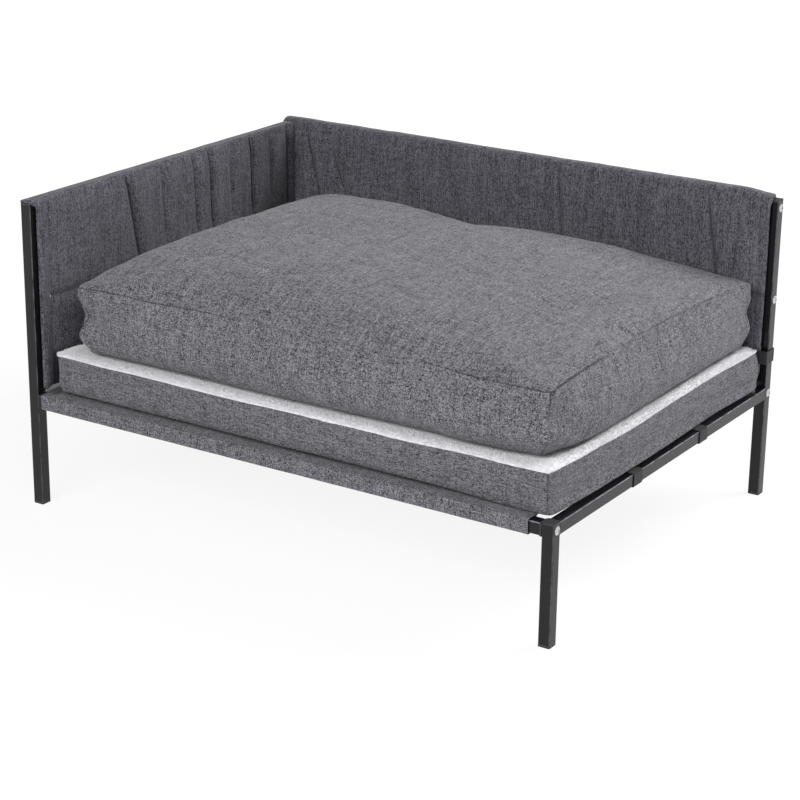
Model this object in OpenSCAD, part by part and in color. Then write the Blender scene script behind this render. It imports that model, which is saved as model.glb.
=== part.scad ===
// Raised dog bed, open at the front and on the right.
//
// A square-tube steel frame carries a fabric sling, a padded side panel on the left, a padded
// back panel, a mattress and a loose boxed cushion. The two end frames are welded; four cross
// rails are screwed between them.
//
// X runs along the bed, Y from the open front to the back panel and Z up. The origin is on the
// floor under the middle of the frame.

/* [Frame] */
// Length over the posts, along X
frame_length = 1000; // [760:10:1300]
// Depth over the posts, along Y
frame_depth = 750; // [500:10:950]
// Height of the tall posts' tubes, without their caps
post_top = 520; // [480:5:700]
// Height of the lower rails' top, which is also the short leg's tube
deck_height = 195; // [120:5:240]
// Height of the middle of the mid rails
mid_rail_height = 350; // [300:5:400]
// Distance from the top rails up to the ends of the posts' tubes
top_rail_drop = 2; // [1:1:20]

/* [Tube] */
// Outer side of the square tube
tube = 20; // [18:1:30]
// Wall of the tube
tube_wall = 1; // [0.8:0.1:1.6]
// Outer corner radius of the tube
tube_corner = 1.8; // [1.6:0.1:3]

/* [Caps and feet] */
// Thickness of a cap above its tube
cap_thickness = 2; // [1:0.5:4]
// Depth of a cap's stem inside its tube
cap_stem = 5; // [3:0.5:6]
// Thickness of a foot below its tube
foot_thickness = 3; // [2:0.5:8]
// Depth of a foot's stem inside its tube
foot_stem = 14; // [8:1:30]
// Gap all round between a stem and the tube's bore
stem_gap = 0.1; // [0.05:0.05:0.3]

/* [Screws] */
// Diameter of a screw's shank
screw_diameter = 6; // [5:0.5:8]
// Radial gap between a shank and the nut
thread_gap = 0.05; // [0.05:0.05:0.2]
// Radial gap between a shank and the holes it passes through
screw_hole_gap = 0.3; // [0.2:0.1:0.6]
// Diameter of a screw's domed head
screw_head_diameter = 14; // [11:0.5:16]
// Height of a screw's head
screw_head_height = 3.6; // [2.5:0.1:5]
// Height of the head's straight rim, below the dome
screw_head_rim = 0.8; // [0.4:0.1:1.5]
// Length of a screw past its nut
screw_tip = 1; // [0.5:0.5:6]
// Length of each arm of the cross recess, from end to end
recess_length = 7; // [5:0.5:9]
// Width of each arm of the cross recess
recess_width = 1.4; // [1:0.1:2]
// Depth of the cross recess
recess_depth = 1.8; // [1:0.1:2.2]

/* [Rail end plugs] */
// Thickness of a plug's lip, between the rail and the post
plug_lip_thickness = 3; // [2:0.5:5]
// How far the lip stands out past the rail's faces
plug_lip_overhang = 1; // [0.5:0.1:1.4]
// Length of a plug's body inside the rail
plug_body = 16; // [12:1:30]
// Side of the square nut
nut_side = 10; // [9:0.5:12]
// Thickness of the square nut
nut_thickness = 5; // [4:0.5:6]
// Gap all round between a nut and its pocket
nut_gap = 0.1; // [0.05:0.05:0.3]

/* [Fabric and webbing] */
// Thickness of the sling and of the covers' single walls
fabric_thickness = 1.5; // [0.8:0.1:2.5]
// Gap between the fabric and the tube it goes round
fabric_gap = 0.3; // [0.1:0.1:1]
// Distance from the left rail to the sling's edge
sling_left_gap = 8; // [4:1:40]
// Distance from the right rail to the sling's edge
sling_right_gap = 21; // [4:1:40]
// Width of the webbing straps
webbing_width = 28; // [20:1:40]
// Distance between the middles of the two straps on one rail
strap_spacing = 228; // [120:2:300]
// How far a strap is sewn under the sling
strap_seam = 20; // [10:1:40]

/* [Panels] */
// Thickness of the padded inner walls
panel_thickness = 6; // [4:0.5:12]
// Thickness of the batting inside them
batting_thickness = 3.6; // [2:0.2:3.8]
// Width of the sewn border round the batting
panel_border = 12; // [8:1:40]
// How far an inner wall laps over the face of a post
panel_overlap = 6; // [2:1:14]
// Gap between the two panels in the corner
panel_corner_gap = 0.5; // [0.3:0.1:3]
// Thickness of the side panel over the top rail
side_roll = 5.7; // [4:0.1:16]
// Thickness of the back panel over the top rail
back_roll = 12.7; // [4:0.1:16]
// Distance from the side panel's hem down to the deck
side_hem_height = 12; // [5:1:40]
// Distance from the back panel's hem down to the deck
back_hem_height = 25; // [5:1:40]
// Height of the back panel's strap above the deck, to its middle
panel_strap_height = 56; // [45:1:90]
// How far the strap is sewn onto the back panel
panel_strap_seam = 30; // [15:1:60]

/* [Mattress] */
// Height of the mattress's border
border_height = 62; // [40:1:100]
// Thickness of the plush sleeping side
plush_thickness = 6; // [3:0.5:12]
// Thickness of the mattress's cover
mattress_skin = 1.5; // [1:0.1:3]
// Gap between the mattress and the side panel
mattress_side_gap = 19; // [5:1:40]
// Gap between the mattress and the back panel
mattress_back_gap = 3; // [2:0.5:10]
// Distance from the frame's front face back to the mattress
mattress_front_inset = 16; // [0:1:40]
// Distance from the frame's right face in to the mattress
mattress_right_inset = 19; // [0:1:40]
// Radius of the mattress's corners, seen from above
mattress_corner = 22; // [10:1:60]

/* [Cushion] */
// Height of the cushion's boxed border
cushion_border = 112; // [60:1:160]
// Height of the cushion's crown above its border
cushion_crown = 58; // [10:1:90]
// Distance from the cushion's edges in to its flat crown
crown_inset = 150; // [60:5:200]
// Distance from the mattress's left edge in to the cushion
cushion_left_inset = 37; // [5:1:60]
// Distance from the mattress's right edge in to the cushion
cushion_right_inset = 5; // [5:1:60]
// Distance from the mattress's front edge in to the cushion
cushion_front_inset = 6; // [5:1:60]
// Distance from the mattress's back edge in to the cushion
cushion_back_inset = 9; // [5:1:60]
// Thickness of the cushion's cover
cushion_skin = 2; // [1:0.1:4]
// Radius of the cushion's corners, seen from above
cushion_corner = 28; // [10:1:60]

/* [Zips] */
// Length of each zip
zip_length = 560; // [300:10:580]
// Width of a zip's tape
zip_width = 24; // [16:1:30]
// Thickness of a closed zip
zip_thickness = 1; // [0.6:0.1:1.5]
// Gap between soft pieces that rest on or fill one another
soft_gap = 0.3; // [0.2:0.1:1]

/* [Hidden] */

STEEL = "#26262a";
PLASTIC = "#1b1b1d";
ZINC = "#c9cbd0";
LINEN = "#63636c";
WEBBING = "#141416";
BATTING = "#e9e7e0";
FOAM = "#e6dfc4";
PLUSH = "#e4e4ea";

// Faces of the frame and middles of its tubes
half_length = frame_length / 2;
half_depth = frame_depth / 2;
inner_x = half_length - tube;
inner_y = half_depth - tube;
post_x = half_length - tube / 2;
post_y = half_depth - tube / 2;
low_z = deck_height - tube / 2;
top_z = post_top - top_rail_drop - tube / 2;
bore = tube - 2 * tube_wall;
bore_corner = max(tube_corner - tube_wall, 0.2);

// Cross rails as [y, z] of their middles: the front one, then the three at the back
CROSS_RAILS = [[-post_y, low_z], [post_y, low_z], [post_y, mid_rail_height], [post_y, top_z]];
BACK_HEIGHTS = [low_z, mid_rail_height, top_z];
cross_rail_length = frame_length - 2 * (tube + plug_lip_thickness);
end_rail_length = frame_depth - 2 * tube;

// Tops of the four corners, as [x, y, height of the tube]
CORNERS = [
    [-post_x, -post_y, post_top],
    [-post_x, post_y, post_top],
    [post_x, post_y, post_top],
    [post_x, -post_y, deck_height]
];

screw_radius = screw_diameter / 2;
screw_hole_radius = screw_radius + screw_hole_gap;
screw_length = tube + plug_lip_thickness + plug_body + screw_tip;
screw_chamfer = 0.8;
// Radius of the arc that domes the head from its rim to its top
dome_rise = screw_head_height - screw_head_rim;
dome_radius = (pow(screw_head_diameter / 2, 2) + pow(dome_rise, 2)) / (2 * dome_rise);

// Fabric slips over the plugs' lips, so it goes round a tube this far off the tube's faces
loose = plug_lip_overhang + fabric_gap;
wrap = loose + fabric_thickness;
sleeve = tube + 2 * wrap;
deck_top = deck_height + wrap;
sling_left = -inner_x + sling_left_gap;
sling_right = inner_x - sling_right_gap;

// Faces of the two panels
roof_z = post_top + cap_thickness + fabric_gap;
side_wall_x = -inner_x + fabric_gap;
side_face_x = side_wall_x + panel_thickness;
back_wall_y = inner_y - loose;
side_outer_x = -half_length - fabric_gap - fabric_thickness;
back_face_y = back_wall_y - panel_thickness;
side_front_y = -inner_y - panel_overlap;
side_back_y = back_face_y - panel_corner_gap;
back_right_x = inner_x + panel_overlap;
side_hem_z = deck_height + side_hem_height;
back_hem_z = deck_height + back_hem_height;
// Setback of a panel's roll from the ends of the posts it covers
roll_setback = 1;
panel_strap_z = deck_height + panel_strap_height - webbing_width / 2;

mattress_z = deck_top + soft_gap;
mattress_low = [side_face_x + mattress_side_gap, -half_depth + mattress_front_inset];
mattress_high = [half_length - mattress_right_inset, back_face_y - mattress_back_gap];
mattress_top_z = mattress_z + border_height + plush_thickness;

cushion_z = mattress_top_z + soft_gap;
cushion_low = mattress_low + [cushion_left_inset, cushion_front_inset];
cushion_high = mattress_high - [cushion_right_inset, cushion_back_inset];

// Outline of a square with round corners, about the origin
function rounded_square(side, radius, steps = 4) = [
    for (corner = [0:3], i = [0:steps])
        let (a = 90 * (corner + i / steps), m = side / 2 - radius, q = 90 * corner + 45)
            [m * sign(cos(q)) + radius * cos(a), m * sign(sin(q)) + radius * sin(a)]
];

// Outline of a rectangle from low to high with round corners, drawn in by inset
function rounded_rectangle(low, high, radius, inset = 0, steps = 6) = [
    for (corner = [0:3], i = [0:steps])
        let (
            a = 90 * (corner + i / steps),
            r = max(radius - inset, 1),
            q = 90 * corner + 45,
            x = cos(q) > 0 ? high.x - inset - r : low.x + inset + r,
            y = sin(q) > 0 ? high.y - inset - r : low.y + inset + r
        )
            [x + r * cos(a), y + r * sin(a)]
];

// ---------------------------------------------------------------- building blocks

// Box from one corner to the opposite one
module box(low, high) {
    translate(low)
        cube(high - low);
}

// Square tube standing on the origin
module tube_stock(length) {
    linear_extrude(height = length)
        difference() {
            polygon(rounded_square(tube, tube_corner));
            polygon(rounded_square(bore, bore_corner));
        }
}

// Solid that fills the tube's bore, less a gap all round
module stem(length) {
    linear_extrude(height = length)
        polygon(rounded_square(bore - 2 * stem_gap, bore_corner));
}

// Upright tube on a foot, drilled across for the screws at the given heights
module post(corner, screw_heights) {
    color(STEEL)
        translate([corner.x, corner.y, 0])
            difference() {
                translate([0, 0, foot_thickness])
                    tube_stock(corner.z - foot_thickness);
                for (z = screw_heights)
                    translate([0, 0, z])
                        rotate([0, 90, 0])
                            cylinder(r = screw_hole_radius, h = tube + 2, center = true, $fn = 48);
            }
}

// Rail along X between the lips of its two end plugs
module cross_rail(place) {
    color(STEEL)
        translate([-cross_rail_length / 2, place.x, place.y])
            rotate([0, 90, 0])
                tube_stock(cross_rail_length);
}

// Rail along Y, welded between two uprights
module end_rail(x, z) {
    color(STEEL)
        translate([x, -end_rail_length / 2, z])
            rotate([-90, 0, 0])
                tube_stock(end_rail_length);
}

// Puts a child at each end of each cross rail, with its +X pointing out through the post.
// offset is the distance from the post's inner face.
module at_rail_ends(offset) {
    for (place = CROSS_RAILS, side = [-1, 1])
        translate([side * (inner_x + offset), place.x, place.y])
            rotate([0, 0, side > 0 ? 0 : 180])
                children();
}

// ---------------------------------------------------------------- frame

module left_front_post() {
    post(CORNERS[0], [low_z]);
}

module left_rear_post() {
    post(CORNERS[1], BACK_HEIGHTS);
}

module right_rear_post() {
    post(CORNERS[2], BACK_HEIGHTS);
}

module right_front_leg() {
    post(CORNERS[3], [low_z]);
}

module post_caps() {
    color(PLASTIC)
        for (corner = CORNERS)
            translate(corner) {
                linear_extrude(height = cap_thickness)
                    polygon(rounded_square(tube, tube_corner));
                translate([0, 0, -cap_stem])
                    stem(cap_stem);
            }
}

module foot_plugs() {
    color(PLASTIC)
        for (corner = CORNERS)
            translate([corner.x, corner.y, 0]) {
                linear_extrude(height = foot_thickness)
                    polygon(rounded_square(tube, tube_corner));
                translate([0, 0, foot_thickness])
                    stem(foot_stem);
            }
}

// Plug with a lip against the post and a pocket for the nut at its inner end
module rail_end_plug() {
    lip = tube + 2 * plug_lip_overhang;
    depth = plug_lip_thickness + plug_body;
    pocket = nut_side + 2 * nut_gap;
    difference() {
        rotate([0, -90, 0]) {
            linear_extrude(height = plug_lip_thickness)
                polygon(rounded_square(lip, tube_corner));
            translate([0, 0, plug_lip_thickness])
                stem(plug_body);
        }
        translate([-depth - 1, 0, 0])
            rotate([0, 90, 0])
                cylinder(r = screw_hole_radius, h = depth + 2, $fn = 48);
        box([-depth - 1, -pocket / 2, -pocket / 2], [-depth + nut_thickness, pocket / 2, pocket / 2]);
    }
}

module rail_end_plugs() {
    color(PLASTIC)
        at_rail_ends(0)
            rail_end_plug();
}

// Square nut at the bottom of a plug's pocket
module captive_nut() {
    difference() {
        translate([0, -nut_side / 2, -nut_side / 2])
            cube([nut_thickness, nut_side, nut_side]);
        translate([-1, 0, 0])
            rotate([0, 90, 0])
                cylinder(r = screw_radius + thread_gap, h = nut_thickness + 2, $fn = 48);
    }
}

module captive_nuts() {
    color(ZINC)
        at_rail_ends(-plug_lip_thickness - plug_body)
            captive_nut();
}

// Half outline of a domed screw: its head rests on height 0 and its tip is below
function screw_outline(steps = 6) = concat(
    [
        [0, -screw_length],
        [screw_radius - screw_chamfer, -screw_length],
        [screw_radius, -screw_length + screw_chamfer],
        [screw_radius, 0],
        [screw_head_diameter / 2, 0]
    ],
    [
        for (i = [0:steps])
            let (rim_angle = asin(1 - dome_rise / dome_radius), a = rim_angle + (90 - rim_angle) * i / steps)
                [dome_radius * cos(a), screw_head_height - dome_radius * (1 - sin(a))]
    ]
);

// Domed screw with a cross recess; its head rests on the plane x = 0
module frame_screw() {
    rotate([0, 90, 0])
        difference() {
            rotate_extrude($fn = 64)
                polygon(screw_outline());
            for (turn = [0, 90])
                rotate([0, 0, turn])
                    translate([-recess_length / 2, -recess_width / 2, screw_head_height - recess_depth])
                        cube([recess_length, recess_width, recess_depth + 1]);
        }
}

module frame_screws() {
    color(ZINC)
        at_rail_ends(tube)
            frame_screw();
}

// ---------------------------------------------------------------- sling and its straps

// Sleeve round a cross rail, between the sling's two edges
module rail_sleeve(y) {
    translate([sling_left, y - sleeve / 2, low_z - sleeve / 2])
        difference() {
            cube([sling_right - sling_left, sleeve, sleeve]);
            translate([-1, fabric_thickness, fabric_thickness])
                cube([sling_right - sling_left + 2, tube + 2 * loose, tube + 2 * loose]);
        }
}

module base_sling() {
    color(LINEN) {
        rail_sleeve(-post_y);
        rail_sleeve(post_y);
        box([sling_left, -inner_y, deck_top - fabric_thickness], [sling_right, inner_y, deck_top]);
    }
}

// Two webbing loops round an end rail. side is 1 on the right and -1 on the left, and edge is
// the sling's edge on that side.
module sling_straps(side, edge) {
    loop_in = inner_x - wrap;
    under = deck_top - fabric_thickness;
    color(WEBBING)
        for (y = [-strap_spacing / 2, strap_spacing / 2])
            translate([0, y - webbing_width / 2, 0]) {
                translate([side * post_x - sleeve / 2, 0, low_z - sleeve / 2])
                    difference() {
                        cube([sleeve, webbing_width, sleeve]);
                        translate([fabric_thickness, -1, fabric_thickness])
                            cube([sleeve - 2 * fabric_thickness, webbing_width + 2,
                                  sleeve - 2 * fabric_thickness]);
                    }
                mirror([side < 0 ? 1 : 0, 0, 0])
                    box(
                        [side * edge - strap_seam, 0, under - fabric_thickness],
                        [loop_in + fabric_thickness / 2, webbing_width, under]
                    );
            }
}

module left_sling_straps() {
    sling_straps(-1, sling_left);
}

module right_sling_straps() {
    sling_straps(1, sling_right);
}

// ---------------------------------------------------------------- panels

// Batting inside an inner wall: the wall's box drawn in by the border, in the wall's middle
module side_batting_box(gap) {
    skin = (panel_thickness - batting_thickness) / 2 + gap;
    box(
        [side_wall_x + skin, side_front_y + panel_border + gap, side_hem_z + panel_border + gap],
        [side_face_x - skin, side_back_y - panel_border - gap, roof_z - panel_border - gap]
    );
}

module back_batting_box(gap) {
    skin = (panel_thickness - batting_thickness) / 2 + gap;
    box(
        [side_wall_x + panel_border + gap, back_face_y + skin, back_hem_z + panel_border + gap],
        [back_right_x - panel_border - gap, back_wall_y - skin, roof_z - panel_border - gap]
    );
}

// Padded wall inside the frame, a roll over the top rail and a single wall outside it
module side_panel_cover() {
    color(LINEN)
        difference() {
            union() {
                box([side_wall_x, side_front_y, side_hem_z], [side_face_x, side_back_y, roof_z]);
                box(
                    [side_outer_x, -half_depth + roll_setback, roof_z],
                    [side_face_x, side_back_y, roof_z + side_roll]
                );
                box(
                    [side_outer_x, -inner_y, side_hem_z],
                    [side_outer_x + fabric_thickness, side_back_y, roof_z]
                );
            }
            side_batting_box(0);
        }
}

module side_panel_batting() {
    color(BATTING)
        side_batting_box(soft_gap / 2);
}

module back_panel_cover() {
    color(LINEN)
        difference() {
            union() {
                box([side_wall_x, back_face_y, back_hem_z], [back_right_x, back_wall_y, roof_z]);
                box(
                    [-half_length + roll_setback, back_face_y, roof_z],
                    [back_right_x, half_depth + wrap, roof_z + back_roll]
                );
                box(
                    [-inner_x, half_depth + loose, back_hem_z],
                    [inner_x, half_depth + wrap, roof_z]
                );
            }
            back_batting_box(0);
        }
}

module back_panel_batting() {
    color(BATTING)
        back_batting_box(soft_gap / 2);
}

// Webbing from the back panel's face round the right rear post to its outer wall
module panel_strap() {
    face_y = back_face_y - fabric_thickness;
    outside_x = half_length + wrap;
    outside_y = half_depth + wrap;
    color(WEBBING)
        translate([0, 0, panel_strap_z])
            linear_extrude(height = webbing_width)
                polygon([
                    [back_right_x - panel_strap_seam, back_face_y],
                    [back_right_x - panel_strap_seam, face_y],
                    [outside_x, face_y],
                    [outside_x, outside_y],
                    [inner_x, outside_y],
                    [inner_x, outside_y - fabric_thickness],
                    [outside_x - fabric_thickness, outside_y - fabric_thickness],
                    [outside_x - fabric_thickness, back_face_y]
                ]);
}

// ---------------------------------------------------------------- mattress

// Upright block of the mattress's outline, drawn in by inset
module mattress_block(inset, bottom, top) {
    translate([0, 0, bottom])
        linear_extrude(height = top - bottom)
            polygon(rounded_rectangle(mattress_low, mattress_high, mattress_corner, inset));
}

// Base and border, open at the top
module mattress_cover() {
    rim_z = mattress_z + border_height;
    color(LINEN)
        difference() {
            mattress_block(0, mattress_z, rim_z);
            mattress_block(mattress_skin, mattress_z + mattress_skin, rim_z + 1);
        }
}

module mattress_core() {
    color(FOAM)
        mattress_block(
            mattress_skin + soft_gap,
            mattress_z + mattress_skin + soft_gap,
            mattress_z + border_height - soft_gap
        );
}

module mattress_plush_top() {
    color(PLUSH)
        mattress_block(0, mattress_z + border_height, mattress_top_z);
}

// Closed zip on a rear face, centred on a height
module zip_strip(face_y, centre_x, centre_z) {
    color(PLASTIC)
        translate([centre_x - zip_length / 2, face_y, centre_z - zip_width / 2])
            cube([zip_length, zip_thickness, zip_width]);
}

module mattress_zip() {
    zip_strip(
        mattress_high.y,
        (mattress_low.x + mattress_high.x) / 2,
        mattress_z + border_height / 2
    );
}

// ---------------------------------------------------------------- cushion

// Boxed cushion with a crowned top, drawn in by inset all round
module cushion_form(inset) {
    border_top = cushion_z + cushion_border - inset;
    hull() {
        translate([0, 0, cushion_z + inset])
            linear_extrude(height = cushion_border - 2 * inset)
                polygon(rounded_rectangle(cushion_low, cushion_high, cushion_corner, inset));
        translate([0, 0, border_top])
            linear_extrude(height = cushion_crown)
                polygon(rounded_rectangle(cushion_low, cushion_high, cushion_corner,
                                          crown_inset + inset));
    }
}

module cushion_cover() {
    color(LINEN)
        difference() {
            cushion_form(0);
            cushion_form(cushion_skin);
        }
}

module cushion_filling() {
    color(BATTING)
        cushion_form(cushion_skin + soft_gap);
}

module cushion_zip() {
    zip_strip(
        cushion_high.y,
        (cushion_low.x + cushion_high.x) / 2,
        cushion_z + cushion_border / 2
    );
}

left_front_post();
left_rear_post();
right_rear_post();
right_front_leg();
end_rail(-post_x, low_z);  // left_lower_rail
end_rail(-post_x, mid_rail_height);  // left_mid_rail
end_rail(-post_x, top_z);  // left_top_rail
end_rail(post_x, low_z);  // right_lower_rail
cross_rail(CROSS_RAILS[0]);  // front_rail
cross_rail(CROSS_RAILS[1]);  // back_lower_rail
cross_rail(CROSS_RAILS[2]);  // back_mid_rail
cross_rail(CROSS_RAILS[3]);  // back_top_rail
post_caps();
foot_plugs();
rail_end_plugs();
captive_nuts();
frame_screws();
base_sling();
left_sling_straps();
right_sling_straps();
side_panel_cover();
side_panel_batting();
back_panel_cover();
back_panel_batting();
panel_strap();
mattress_cover();
mattress_core();
mattress_plush_top();
mattress_zip();
cushion_cover();
cushion_filling();
cushion_zip();
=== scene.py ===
"""Looks of the raised dog bed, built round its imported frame.

The steel tubes, plugs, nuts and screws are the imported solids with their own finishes. Every soft
piece is built here and stands for its plain solid. Each sub-assembly is a class that holds its
sizes and makes its pieces, and each finish is a small class that makes one material. Lengths are
in metres, with X along the bed, Y from the open front to the back panel and Z up.
"""

import itertools
import logging
import math
from dataclasses import dataclass, replace
from enum import Enum
from typing import Callable, Optional, Sequence

import bpy
import numpy as np
from mathutils import Matrix, Vector


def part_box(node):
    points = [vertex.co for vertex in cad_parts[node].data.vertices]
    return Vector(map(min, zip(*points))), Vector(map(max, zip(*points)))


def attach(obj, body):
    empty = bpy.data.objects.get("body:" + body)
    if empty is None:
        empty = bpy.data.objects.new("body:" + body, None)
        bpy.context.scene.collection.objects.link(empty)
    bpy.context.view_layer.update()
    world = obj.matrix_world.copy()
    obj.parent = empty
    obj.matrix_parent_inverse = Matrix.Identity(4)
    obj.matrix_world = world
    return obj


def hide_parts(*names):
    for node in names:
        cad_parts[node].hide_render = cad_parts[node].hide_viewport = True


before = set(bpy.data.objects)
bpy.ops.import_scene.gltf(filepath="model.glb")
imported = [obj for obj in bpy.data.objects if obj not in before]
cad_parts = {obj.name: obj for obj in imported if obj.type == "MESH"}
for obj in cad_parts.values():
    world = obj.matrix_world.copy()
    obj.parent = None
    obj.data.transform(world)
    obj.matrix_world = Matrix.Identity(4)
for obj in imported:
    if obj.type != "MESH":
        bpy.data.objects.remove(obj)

LOG = logging.getLogger("dog_bed")
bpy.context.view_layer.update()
# Name of the mesh attribute that holds painted shade, from 0 to 1.
PAINTED_SHADE_ATTRIBUTE = "fold"
MM = 0.001
UP = np.array((0.0, 0.0, 1.0))
DOWN = np.array((0.0, 0.0, -1.0))
FORWARD = np.array((0.0, -1.0, 0.0))
RIGHT = np.array((1.0, 0.0, 0.0))
WEBBING_HALF = 0.65 * MM
PLAY = 0.3 * MM
NOISE_ORIGIN = 1000.0
CELL_PRIMES = (73856093, 19349663, 83492791)
HASH_STEPS = ((15, 2246822519), (13, 3266489917))
WORD = 0xFFFFFFFF
BEND_POINTS = 6

Relief = Callable[[np.ndarray], tuple[np.ndarray, np.ndarray]]


class Body(Enum):
    """The bodies that pieces ride on."""

    FRAME = "frame"
    MATTRESS = "mattress"
    CUSHION = "cushion"


class Plane(Enum):
    """The plane that a strip's path lies in; the strip runs straight across it."""

    XZ = (0, 2, 1)
    YZ = (1, 2, 0)
    XY = (0, 1, 2)


# ---------------------------------------------------------------- numbers and grids


def ease(value: np.ndarray, low: float, high: float) -> np.ndarray:
    """Smooth step from 0 at low to 1 at high.

    Args:
        value: the numbers to ease.
        low: where the step starts.
        high: where the step ends; it may be below low.

    Returns:
        Numbers from 0 to 1.
    """
    t = np.clip((value - low) / (high - low), 0.0, 1.0)
    return t * t * (3.0 - 2.0 * t)


def bell(value: np.ndarray, width: float) -> np.ndarray:
    """1 at 0, falling away on both sides and 0.37 at a width."""
    return np.exp(-((value / width) ** 2))


def unit(vectors: np.ndarray) -> np.ndarray:
    """The same directions, each of length 1."""
    return vectors / np.maximum(np.linalg.norm(vectors, axis=-1, keepdims=True), 1e-12)


def placed(x: np.ndarray, y: np.ndarray, z: np.ndarray, spot: np.ndarray) -> np.ndarray:
    """Stacked 4 x 4 matrices from their axes and their places."""
    places = np.zeros((len(spot), 4, 4))
    for k, column in enumerate((x, y, z, spot)):
        places[:, :3, k] = column
    places[:, 3, 3] = 1.0
    return places


def quads(index: np.ndarray) -> np.ndarray:
    """The faces between the points of a grid, from their numbers."""
    cells = np.stack([index[:-1, :-1], index[1:, :-1], index[1:, 1:], index[:-1, 1:]], -1)
    return cells.reshape(-1, 4)


def sleeve(rings: int, size: int) -> list[tuple]:
    """The faces between rings of points that stand one above another."""
    spans = [(size * ring, k, (k + 1) % size) for ring in range(rings - 1) for k in range(size)]
    return [(at + k, at + n, at + n + size, at + k + size) for at, k, n in spans]


def edge_distance(box: tuple[Vector, Vector], x: np.ndarray, y: np.ndarray) -> np.ndarray:
    """Distance in from the nearest of a box's four upright sides."""
    low, high = box
    return np.minimum(np.minimum(x - low.x, high.x - x), np.minimum(y - low.y, high.y - y))


def lumps(points: np.ndarray, cell: Sequence[float], seed: int) -> np.ndarray:
    """Smooth, seeded noise in space.

    Args:
        points: places, as rows of x, y and z or a grid of them.
        cell: size of a lump along x, y and z.
        seed: which of the noises.

    Returns:
        Numbers from -1 to 1, one a place.
    """
    spot = points / np.asarray(cell, float) + NOISE_ORIGIN
    base = np.floor(spot).astype(np.int64)
    part = spot - base
    part = part * part * (3.0 - 2.0 * part)
    total = np.zeros(points.shape[:-1])
    for corner in itertools.product((0, 1), repeat=3):
        at = base + np.array(corner)
        mix = np.bitwise_xor.reduce(at * CELL_PRIMES, axis=-1)
        mix = (mix ^ (seed * 40503 + 12345)) & WORD
        for shift, factor in HASH_STEPS:
            mix = ((mix ^ (mix >> shift)) * factor) & WORD
        value = ((mix ^ (mix >> 16)) & 0xFFFF) / 32767.5 - 1.0
        weight = np.prod(np.where(np.array(corner) == 1, part, 1.0 - part), axis=-1)
        total += value * weight
    return total


def facing(grid: np.ndarray) -> np.ndarray:
    """Unit normals of a grid of points, from the cross of its rows and columns."""
    return unit(np.cross(np.gradient(grid, axis=0), np.gradient(grid, axis=1)))


def finer(line: np.ndarray, axis: int, cyclic: bool = False) -> np.ndarray:
    """Puts a point midway between each two along an axis, on a smooth curve through them.

    Args:
        line: points, in a grid.
        axis: which axis of the grid.
        cyclic: whether the axis closes on itself.

    Returns:
        The grid with about twice as many points along the axis.
    """
    a = np.moveaxis(line, axis, 0)
    if cyclic:
        before, after = np.roll(a, 1, 0), np.roll(a, -1, 0)
        middle = (9.0 * (a + after) - before - np.roll(a, -2, 0)) / 16.0
    else:
        first, last = 2 * a[:1] - a[1:2], 2 * a[-1:] - a[-2:-1]
        wide = np.concatenate([first, a, last])
        middle = (9.0 * (wide[1:-2] + wide[2:-1]) - wide[:-3] - wide[3:]) / 16.0
    out = np.empty((len(a) + len(middle),) + a.shape[1:])
    out[0::2] = a
    out[1::2] = middle
    return np.moveaxis(out, 0, axis)


def bent_path(corners: Sequence[tuple], radius: float, step: float) -> np.ndarray:
    """A path through corner points, each corner rounded.

    Args:
        corners: the corner points in a plane.
        radius: radius of the bends.
        step: greatest distance between points on the straights.

    Returns:
        The path's points, as rows.
    """
    turns = [np.asarray(c, float) for c in corners]
    out = [turns[0]]
    for before, at, after in zip(turns, turns[1:], turns[2:]):
        back, on = before - at, after - at
        room = min(np.linalg.norm(back), np.linalg.norm(on)) * 0.49
        reach = min(radius, room)
        enter = at + back / np.linalg.norm(back) * reach
        leave = at + on / np.linalg.norm(on) * reach
        out += straight(out[-1], enter, step)
        for t in np.linspace(0.0, 1.0, BEND_POINTS)[1:]:
            out.append((1 - t) ** 2 * enter + 2 * t * (1 - t) * at + t * t * leave)
    out += straight(out[-1], turns[-1], step)
    return np.array(out)


def straight(start: np.ndarray, end: np.ndarray, step: float) -> list:
    """Points from start to end, no more than step apart, without the start."""
    count = max(1, math.ceil(np.linalg.norm(end - start) / step))
    return [start + (end - start) * i / count for i in range(1, count + 1)]


def path_length(path: np.ndarray) -> float:
    """Length of a path."""
    return float(np.linalg.norm(np.diff(path, axis=0), axis=1).sum())


# ---------------------------------------------------------------- meshes


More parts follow.
